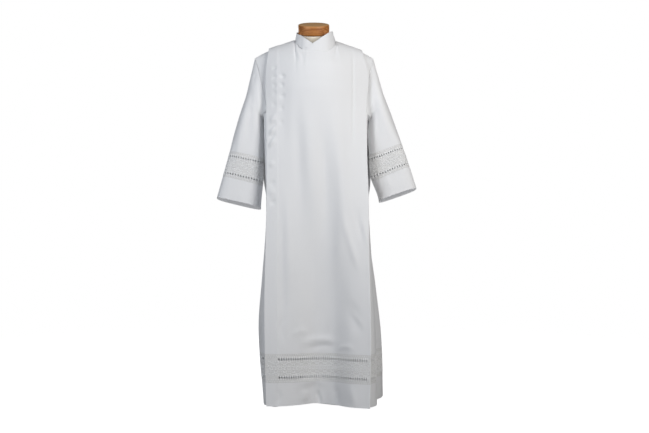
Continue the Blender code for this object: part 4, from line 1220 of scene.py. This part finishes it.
# ================================================================ the side sections
# One on each side, running from under the over-front round to under the back, with the armhole
# cut into its top. The wearer's-left one flares into soft folds toward the hem.
SIDE_PLAN = {
    "left": table(
        "z front_x front_y fold_x fold_y dip_x dip_y rear_x rear_y back_x back_y",
        (0.00, 0.238, -0.180, 0.250, -0.120, 0.243, -0.045, 0.277, 0.045, 0.274, 0.130),
        (0.25, 0.236, -0.170, 0.243, -0.115, 0.240, -0.045, 0.270, 0.035, 0.266, 0.110),
        (0.45, 0.228, -0.155, 0.234, -0.108, 0.233, -0.045, 0.248, 0.020, 0.240, 0.090),
        (0.68, 0.216, -0.140, 0.219, -0.100, 0.219, -0.045, 0.220, 0.010, 0.212, 0.072),
        (1.00, 0.209, -0.115, 0.212, -0.085, 0.213, -0.045, 0.212, 0.000, 0.202, 0.045),
        (1.16, 0.210, -0.105, 0.214, -0.080, 0.216, -0.045, 0.214, -0.010, 0.204, 0.026)),
    "right": table(
        "z front_x front_y fold_x fold_y dip_x dip_y rear_x rear_y back_x back_y",
        (0.00, -0.186, -0.150, -0.1965, -0.095, -0.1994, -0.020, -0.197, 0.050, -0.186, 0.115),
        (0.33, -0.198, -0.140, -0.2130, -0.090, -0.2182, -0.025, -0.214, 0.045, -0.196, 0.100),
        (0.50, -0.190, -0.135, -0.2000, -0.088, -0.2040, -0.030, -0.200, 0.035, -0.186, 0.085),
        (0.70, -0.181, -0.125, -0.1860, -0.085, -0.1880, -0.035, -0.186, 0.020, -0.176, 0.068),
        (1.00, -0.188, -0.110, -0.1930, -0.080, -0.1950, -0.040, -0.192, 0.000, -0.180, 0.042),
        (1.16, -0.192, -0.100, -0.1970, -0.078, -0.1990, -0.045, -0.197, -0.010, -0.184, 0.026))}
ARMHOLE = {
    "left": table("z x", (1.16, 0.2100), (1.24, 0.2160), (1.32, 0.2230), (1.40, 0.2332)),
    "right": table("z x", (1.16, -0.1920), (1.24, -0.2020), (1.32, -0.2120), (1.40, -0.2288))}
SIGN = {"left": 1, "right": -1}
SIDE_KEYS = (0, 0.5, 1.15, 2, 3, 4, 5, 5.65, 6.15)
ARMHOLE_FRONT_KEY, ARMHOLE_BACK_KEY = 1.15, 5
ARMPIT_Z = 1.160
ARMPIT_DIP = 0.022           # how far the armhole's lowest edge dips
ARMPIT_FADE = 0.12           # height below it in which the dip dies out
UNDER_FRONT = {"left": FOLD_DEPTH, "right": 0.055}    # how far each runs in under the over-front
SIDE_CREASES = {
    "left": [
        ("left", 5, 18, 0.4, -70, 980, -76, 660, -100, 340, -112, 50),
        ("front", -9, 9, 0.3, 219, 1370, 215, 1220, 211, 1080, 208, 960),
        ("left", 15, 24, 0.28, -10, 1210, -10, 990, -10, 770),
        ("left", -4, 15, 0.4, -20, 920, -20, 560, -40, 240, -46, 40),
        ("left", 4, 16, 0.4, 20, 800, 30, 480, 46, 200, 52, 30),
        ("left", -3, 12, 0.4, 44, 700, 60, 420, 86, 160),
        ("left", -2, 8, 0.4, -70, 1145, -52, 1105, -48, 1050),
        ("left", 2, 9, 0.4, -30, 1120, -26, 1070, -30, 1020),
        ("left", 3, 10, 0.4, -80, 245, -30, 258, 10, 246),
    ],
    "right": [
        ("right", 4, 17, 0.4, -72, 960, -80, 620, -84, 340, -82, 60),
        ("right", 12, 24, 0.28, -8, 1210, -8, 990, -8, 790),
        ("front", -10, 9, 0.3, -196, 1370, -194, 1200, -190, 1060, -186, 940),
        ("right", -3, 14, 0.4, -36, 900, -30, 580, -24, 280, -20, 40),
        ("right", 4, 16, 0.4, 4, 760, 18, 440, 34, 180),
        ("right", -2, 8, 0.4, -64, 1140, -50, 1090, -50, 1040),
        ("right", 2, 9, 0.4, -20, 1115, -22, 1060, -30, 1010),
        ("right", 3, 10, 0.4, -60, 250, -20, 242, 20, 256),
    ]}


def side_corners(side, z):
    """The plan's corners of a side section, (x, y) with one more axis for the corners."""
    plan, sign = SIDE_PLAN[side], SIGN[side]
    lead, tail = ("pleat", "leading") if side == "left" else ("leading", "pleat")
    front_edge = look_up(FRONT_EDGES, lead, z)
    back_edge = look_up(BACK_EDGES, tail, z)
    xs = [front_edge - sign * UNDER_FRONT[side], front_edge - sign * UNDER_FRONT[side] / 2]
    ys = [FRONT.depth(x, z) for x in xs]
    for name in ("front", "fold", "dip", "rear", "back"):
        xs.append(look_up(plan, name + "_x", z))
        ys.append(look_up(plan, name + "_y", z))
    for share in (0.5, 1.0):
        xs.append(back_edge - sign * FOLD_DEPTH * share)
        ys.append(BACK.depth(xs[-1], z))
    return np.stack(xs, axis=-1), np.stack(ys, axis=-1)


def side_surface(side):
    def surface(key, z):
        xs, ys = side_corners(side, z)
        return np.stack((smooth(SIDE_KEYS, xs, key), smooth(SIDE_KEYS, ys, key), z), axis=-1)
    return surface


def side_top(side, key, h):
    """Plain points beside the armhole, or on the line across it, which holds no cloth."""
    xs, _ = side_corners(side, rough_z(h))
    edge_x = look_up(ARMHOLE[side], "x", rough_z(h))
    share = np.clip(key / ARMHOLE_FRONT_KEY, 0, 1)
    front = FRONT.point((1 - share) * xs[..., 0] + share * edge_x, h)
    share = np.clip((key - ARMHOLE_BACK_KEY) / (SIDE_KEYS[-1] - ARMHOLE_BACK_KEY), 0, 1)
    back = BACK.point((1 - share) * edge_x + share * xs[..., -1], h)
    across = ((key - ARMHOLE_FRONT_KEY) / (ARMHOLE_BACK_KEY - ARMHOLE_FRONT_KEY))[..., None]
    between = (1 - across) * front + across * back
    return np.where((key <= ARMHOLE_FRONT_KEY)[..., None], front,
                    np.where((key >= ARMHOLE_BACK_KEY)[..., None], back, between))


FRONT_SIDE_KEYS = np.linspace(0, ARMHOLE_FRONT_KEY, 22)
UNDERARM_KEYS = np.linspace(ARMHOLE_FRONT_KEY, ARMHOLE_BACK_KEY, 71)[1:-1]
BACK_SIDE_KEYS = np.linspace(ARMHOLE_BACK_KEY, SIDE_KEYS[-1], 20)
SIDE_COLUMNS = np.concatenate((FRONT_SIDE_KEYS, UNDERARM_KEYS, BACK_SIDE_KEYS))
FIRST_CUT = len(FRONT_SIDE_KEYS) - 1
LAST_CUT = FIRST_CUT + len(UNDERARM_KEYS) + 1


def side_section(side):
    """Body of a side section, open at the armhole; returns the piece and the armhole's edge."""
    low_h = np.linspace(level(LACE_TOP_Z + SEAM), level(ARMPIT_Z), 112)
    high_h = np.concatenate((np.linspace(level(ARMPIT_Z), 0, 12)[1:], np.linspace(0, 1, 40)[1:]))
    k, h = np.meshgrid(SIDE_COLUMNS, low_h)
    low = side_surface(side)(k, CHEST_Z + h)
    k, h = np.meshgrid(SIDE_COLUMNS, high_h)
    grid = np.concatenate((low, side_top(side, k, h)))
    armpit = len(low_h) - 1
    across = np.clip((SIDE_COLUMNS - ARMHOLE_FRONT_KEY) / (ARMHOLE_BACK_KEY - ARMHOLE_FRONT_KEY), 0, 1)
    near = np.clip(1 - (ARMPIT_Z - grid[:armpit + 1, :, 2]) / ARMPIT_FADE, 0, 1)
    grid[:armpit + 1, :, 2] -= ARMPIT_DIP * np.sin(across * math.pi) * near**2
    keep = np.ones((grid.shape[0] - 1, grid.shape[1] - 1), bool)
    first, last = FIRST_CUT, LAST_CUT
    if side == "right":
        grid = grid[:, ::-1]
        first, last = grid.shape[1] - 1 - last, grid.shape[1] - 1 - first
    keep[armpit:, first:last] = False
    points, out = draped(grid, SIDE_CREASES[side])
    piece = cloth_piece("side_cloth_" + side, points, "side_" + side, keep=keep)
    edge = np.concatenate((points[:armpit:-1, first], points[armpit, first:last + 1],
                           points[armpit + 1:, last]))
    return piece, edge


# For each side section's lace band: the keys it runs between, the uncut cloth at its ends, and
# the share of the spare cloth that goes before the first gap.
SIDE_BANDS = {"left": ((0, SIDE_KEYS[-1]), (0.037, 0.036), 0),
              "right": ((SIDE_KEYS[-1], 0), (0.036, 0.061), 1)}

side_cloths, armholes = {}, {}
for side in ("left", "right"):
    side_cloth, armholes[side] = side_section(side)
    side_cloths[side] = side_cloth
    keys, plain, spare_before = SIDE_BANDS[side]
    lace_piece(Band(side_surface(side), keys, LADDER_ROWS_Z, (HEM_TOP_Z, LACE_TOP_Z), plain, 36,
                    spare_before),
               "side_lace_cloth_" + side, "side_" + side + "_lace",
               SIDE_CREASES[side])
    k, z = np.meshgrid(SIDE_COLUMNS, hem_z)
    grid = side_surface(side)(k, z)
    points, out = draped(grid if side == "left" else grid[:, ::-1], SIDE_CREASES[side])
    side_hem = cloth_piece("side_hem_cloth_" + side, points, "side_" + side + "_hem")
    stitched("side_hem_stitches_" + side, [(points[-2], out[-2])])


# ================================================================ the sleeves
# Straight set-in sleeves, sewn into the armholes, each with its own lace band and a deep plain
# cuff turned up inside. They hang a little forward of the body.
SLEEVE = {
    "left": table(
        "outer_x outer_z inner_x inner_z half_depth centre_y droop",
        (0.4088, 0.8584, 0.2604, 0.8064, 0.046, -0.055, 0.008),
        (0.3820, 0.9430, 0.2490, 0.8880, 0.046, -0.055, 0.006),
        (0.3500, 1.0350, 0.2330, 0.9930, 0.047, -0.053, 0.003),
        (0.3270, 1.0980, 0.2270, 1.0550, 0.050, -0.050, 0.000),
        (0.3030, 1.1650, 0.2260, 1.1000, 0.054, -0.046, 0.000),
        (0.2800, 1.2300, 0.2250, 1.1300, 0.058, -0.042, 0.000)),
    "right": table(
        "outer_x outer_z inner_x inner_z half_depth centre_y droop",
        (-0.3852, 0.8200, -0.2104, 0.7788, 0.048, -0.055, 0.008),
        (-0.3615, 0.9040, -0.2085, 0.8660, 0.048, -0.055, 0.006),
        (-0.3330, 1.0060, -0.2060, 0.9790, 0.049, -0.053, 0.003),
        (-0.3150, 1.0740, -0.2030, 1.0400, 0.051, -0.050, 0.000),
        (-0.2930, 1.1500, -0.2030, 1.0940, 0.055, -0.046, 0.000),
        (-0.2720, 1.2200, -0.2030, 1.1280, 0.058, -0.042, 0.000))}
SLEEVE_CREASES = {
    "left": [
        ("right", 12, 34, 0.3, -60, 1190, -60, 990, -60, 800),
        ("right", 8, 30, 0.45, -60, 1020, -60, 920, -60, 820),
        ("front", 2.6, 16, 0.4, 250, 1307, 278, 1168, 314, 1018),
        ("front", -2.4, 12, 0.4, 239, 1267, 250, 1129, 270, 1003),
        ("front", -2, 11, 0.4, 286, 1287, 318, 1149, 345, 1030),
        ("front", 1.8, 9, 0.4, 286, 912, 310, 845),
        ("front", -1.5, 6, 0.4, 231, 1334, 250, 1279),
        ("left", 3, 14, 0.4, -50, 1260, -48, 1120, -50, 960),
        ("left", -2, 12, 0.4, -24, 1200, -26, 1060, -30, 920),
        ("back", 3, 16, 0.4, 250, 1260, 285, 1100, 315, 960),
        ("back", -3, 13, 0.4, 275, 1220, 305, 1080, 345, 930),
    ],
    "right": [
        ("left", 8, 34, 0.3, -64, 1190, -64, 980, -64, 780),
        ("front", 3, 9, 0.35, -221, 1295, -217, 1168, -219, 1010, -223, 853),
        ("front", -3.5, 13, 0.35, -247, 1287, -251, 1149, -263, 1010),
        ("front", 3, 18, 0.4, -267, 1247, -286, 1089, -306, 951),
        ("front", -2, 10, 0.4, -298, 1089, -322, 971, -338, 872),
        ("front", -1.6, 6, 0.4, -227, 1326, -243, 1271),
        ("front", 1.5, 8, 0.4, -290, 853, -278, 793),
        ("right", 3, 14, 0.4, -52, 1260, -50, 1100, -50, 940),
        ("right", -2, 12, 0.4, -22, 1200, -26, 1040, -30, 900),
        ("back", 3, 16, 0.4, -240, 1260, -262, 1100, -290, 940),
        ("back", -3, 13, 0.4, -262, 1200, -290, 1060, -325, 900),
    ]}
SLEEVE_FLATNESS = 1.2        # how far a sleeve is pressed flat, front and back, at its cuff
SLEEVE_LACE_TALL = 0.100
SLEEVE_LADDERS = (0.016, 0.080)    # the open rows, up from the cuff's seam
SLEEVE_GAP_TALL = 0.0058
SLEEVE_COLUMNS = 120
SLEEVE_PLACE_TALL = 0.09     # height from one of a sleeve's places to the next
HEAD_JOIN = 26               # the head's ends meet on the shoulder within one part in this many
HEAD_CLEAR, HEAD_CLEAR_TOP = 0.0007, 0.0012    # how far it lies outside the armhole, more on top


def sleeve_surface(side):
    """Points round a sleeve at turns (radians from its outer end) and places from the cuff up."""
    rings = SLEEVE[side]
    index = np.arange(len(rings["outer_x"]))

    def surface(turn, place):
        outer_x, outer_z, inner_x, inner_z, half_depth, centre_y, droop = (
            smooth(index, rings[name], place) for name in
            ("outer_x", "outer_z", "inner_x", "inner_z", "half_depth", "centre_y", "droop"))
        flat = 2 / (2 + SLEEVE_FLATNESS * np.clip((5 - place) / 3, 0, 1))
        across = np.sign(np.cos(turn)) * np.abs(np.cos(turn)) ** flat
        forward = np.sign(np.sin(turn)) * np.abs(np.sin(turn)) ** flat
        x = (outer_x + inner_x) / 2 + (outer_x - inner_x) / 2 * across
        y = centre_y - half_depth * forward
        z = (outer_z + inner_z) / 2 + (outer_z - inner_z) / 2 * across + droop * forward
        return np.stack((x, y, z), axis=-1)
    return surface


def sleeve_body(side, armhole):
    """Body of a sleeve, its head following just outside the armhole's edge."""
    sign = SIGN[side]
    if side == "right":
        armhole = armhole[::-1]
    run = run_along(armhole[:, 1:])
    turns = np.linspace(0, 2 * math.pi, SLEEVE_COLUMNS + 1)[:-1] + math.pi / SLEEVE_COLUMNS
    at = (turns / (2 * math.pi) * HEAD_JOIN - 0.5) / (HEAD_JOIN - 1) * run[-1]
    at = at.clip(0, run[-1])
    seam = np.stack([np.interp(at, run, armhole[:, axis]) for axis in range(3)], axis=1)
    height = (seam[:, 2] - seam[:, 2].min()) / np.ptp(seam[:, 2])
    seam[:, 0] += sign * (HEAD_CLEAR + HEAD_CLEAR_TOP * np.clip(2.4 * height - 1.4, 0, 1))
    places = np.linspace(2.0 + SEAM / SLEEVE_PLACE_TALL, 5.0, 62)
    k, place = np.meshgrid(turns, places)
    rings = sleeve_surface(side)(k, place)
    last = rings[-1]
    head = [(1 - share) * last + share * seam for share in np.linspace(0, 1, 30)[1:]]
    grid = np.concatenate((rings, np.array(head)))
    return grid[:, ::-1] if side == "left" else grid


def turned(surface, side):
    """The same surface with its turns running anticlockwise as seen from above."""
    sign = -1 if side == "left" else 1
    return lambda turn, place: surface(sign * turn, place)


def sleeve_band(side):
    """The lace band's part of the sleeve, by turn and by height above the cuff's seam."""
    ring = turned(sleeve_surface(side), side)
    return lambda turn, height: ring(turn, 1 + height / SLEEVE_LACE_TALL)


# Painted light: the inside of each open cuff glows faintly, standing in for light that shines through
# the thin cloth.
painted_glow_lining = material("cuff_inside", {**SOFT_SHEEN, "Emission Color": (0.90, 0.91, 0.94, 1.0),
                                       "Emission Strength": 0.17}, plain_weave)

for side in ("left", "right"):
    plain = sleeve_surface(side)
    points, out = draped(sleeve_body(side, armholes[side]), SLEEVE_CREASES[side], closed=True)
    sleeve = cloth_piece("sleeve_cloth_" + side, points, "sleeve_" + side, closed=True)
    k, place = np.meshgrid(np.linspace(0, 2 * math.pi, SLEEVE_COLUMNS + 1)[:-1],
                           np.linspace(0, 1, 24))
    points, out = draped(turned(plain, side)(k, place), SLEEVE_CREASES[side], closed=True)
    cuff = cloth_piece("cuff_cloth_" + side, points, "sleeve_" + side + "_cuff", closed=True)
    cuff.data.materials.append(painted_glow_lining)
    cuff.modifiers["wall"].material_offset = 1
    stitched("cuff_stitches_" + side, [(points[-2], out[-2])])
    lace_piece(Band(sleeve_band(side), (0, 2 * math.pi), SLEEVE_LADDERS, (0.0003, SLEEVE_LACE_TALL),
                    (0, 0), 39, 0, True, SLEEVE_GAP_TALL),
               "sleeve_lace_cloth_" + side, "sleeve_" + side + "_lace",
               SLEEVE_CREASES[side])


# ================================================================ the stand collar
# Two halves of stiffened cloth sewn to the neckline and joined at the middle of the back. In
# front they cross in a shallow V, the wearer's left half on top.
COLLAR_NOTCH_Z = 1.4262
NOTCH_X = -0.0035
COLLAR_LEAN = 0.003
COLLAR_CLEAR = 0.0022
COLLAR_FOOT = 0.008          # height of the seam allowance inside the neckline
COLLAR_STITCH_IN = 0.0035
COLLAR_WALL = 0.0016
COLLAR_TOP_Z, COLLAR_TOP_RISE = 1.486, 0.10    # at the shoulders, and its rise toward the back
COLLAR_SLOPES = 0.66, -0.60  # fall of each half to the notch, and of its end past the notch
COLLAR_OVERLAP = 1.35        # keys that each half runs on past the middle of the front
COLLAR_JOIN = 0.006          # keys that each half stops short of the middle of the back
COLLAR_TUCK = 0.0048         # how far inside the left half the right one's end lies
COLLAR_TUCK_FROM, COLLAR_TUCK_IN = 0.065, 0.015    # where past the notch it starts, how soon
COLLAR_SIDE_LEAN = {"left": 0.0115, "right": 0.0040}    # further lean inward at the shoulders
COLLAR_SIDE_FROM, COLLAR_SIDE_IN = 0.045, 0.055    # where in front of the shoulders the edge levels
COLLAR_FOOT_IN = 0.0035
COLLAR_LEAST = 0.003
COLLAR_COLUMNS, COLLAR_ROWS = 130, 22
FRONT_MIDDLE, BACK_MIDDLE, NECK_KEYS = 4, 12, 16


def top_edge(points, main):
    """Points of a panel's top edge at its main columns and between them."""
    column = main * (points.shape[1] - 1) / PANEL_LAST
    return on_cloth(points[-1:].repeat(2, axis=0), np.zeros_like(main), column)


def neckline(keys):
    """Points of the neckline: keys 0 to 8 run across the front, 8 to 16 back along the back."""
    keys = np.mod(keys, NECK_KEYS)
    half = NECK_KEYS // 2
    return np.where((keys <= half)[:, None],
                    top_edge(front_points, NECK_FIRST + np.clip(keys, 0, half)),
                    top_edge(back_points, NECK_FIRST + np.clip(keys - half, 0, half)))


def neckline_stitches(name, points, out):
    """Stitches just under the part of a panel's top edge that ends at the neckline."""
    per_main = (points.shape[1] - 1) / PANEL_LAST
    run = slice(round(NECK_FIRST * per_main) + 2, round(NECK_LAST * per_main) - 1)
    return stitched(name, [(points[-2, run], out[-2, run])])


def collar_half(name, node, keys, crossing_side, inset, below):
    """One half of the collar: its foot goes down inside the neckline before it stands up."""
    base = neckline(keys)
    toward = unit(np.stack((NECK_CENTRE_X - base[:, 0], RIDGE_Y - base[:, 1], 0 * keys), axis=1))
    past = (base[:, 0] - NOTCH_X) * crossing_side
    behind = COLLAR_TOP_Z + COLLAR_TOP_RISE * (base[:, 1] - RIDGE_Y)
    toward_notch, past_notch = COLLAR_SLOPES
    slope = np.where(past > 0, past_notch, toward_notch)
    before = np.minimum(behind, COLLAR_NOTCH_Z + slope * np.abs(past))
    round_side = smooth_step(np.clip((base[:, 1] - RIDGE_Y + COLLAR_SIDE_FROM) / COLLAR_SIDE_IN, 0, 1))
    top_z = (1 - round_side) * before + round_side * behind
    tucked = inset * np.clip((past + COLLAR_TUCK_FROM) / COLLAR_TUCK_IN, 0, 1)
    side_lean = np.where(toward[:, 0] < 0, COLLAR_SIDE_LEAN["left"], COLLAR_SIDE_LEAN["right"])
    lean = COLLAR_LEAN + toward[:, 0] ** 2 * side_lean
    bottom = base + toward * (COLLAR_CLEAR / 2 + tucked)[:, None] + np.array((0, 0, SEAM))
    top = bottom + toward * lean[:, None]
    top[:, 2] = np.maximum(top_z, bottom[:, 2] + COLLAR_LEAST)
    foot = bottom + toward * COLLAR_FOOT_IN - np.array((0, 0, COLLAR_FOOT))
    grid = np.array([(1 - share) * foot + share * bottom for share in (0, 0.35, 0.7, 0.9)]
                    + [(1 - share) * bottom + share * top
                       for share in np.linspace(0, 1, COLLAR_ROWS)])
    out = normals(grid)
    line = grid[-1] - unit(grid[-1] - grid[3]) * COLLAR_STITCH_IN + out[-1] * 0.0002
    stitches = stitched(name + "_stitches", [(line, out[-1])])
    piece = cloth_piece(name, grid, node)
    piece.modifiers["wall"].thickness = COLLAR_WALL


front_end, back_end = FRONT_MIDDLE - COLLAR_OVERLAP, BACK_MIDDLE - COLLAR_JOIN
collar_half("collar_cloth_left", "collar_left",
            np.linspace(front_end, back_end, COLLAR_COLUMNS), -1, 0.0,
            neckline_stitches("front_neckline_stitches", front_points, front_out))
front_end, back_end = FRONT_MIDDLE + COLLAR_OVERLAP, BACK_MIDDLE + COLLAR_JOIN - NECK_KEYS
collar_half("collar_cloth_right", "collar_right",
            np.linspace(back_end, front_end, COLLAR_COLUMNS), 1, COLLAR_TUCK,
            neckline_stitches("back_neckline_stitches", back_points, back_out))
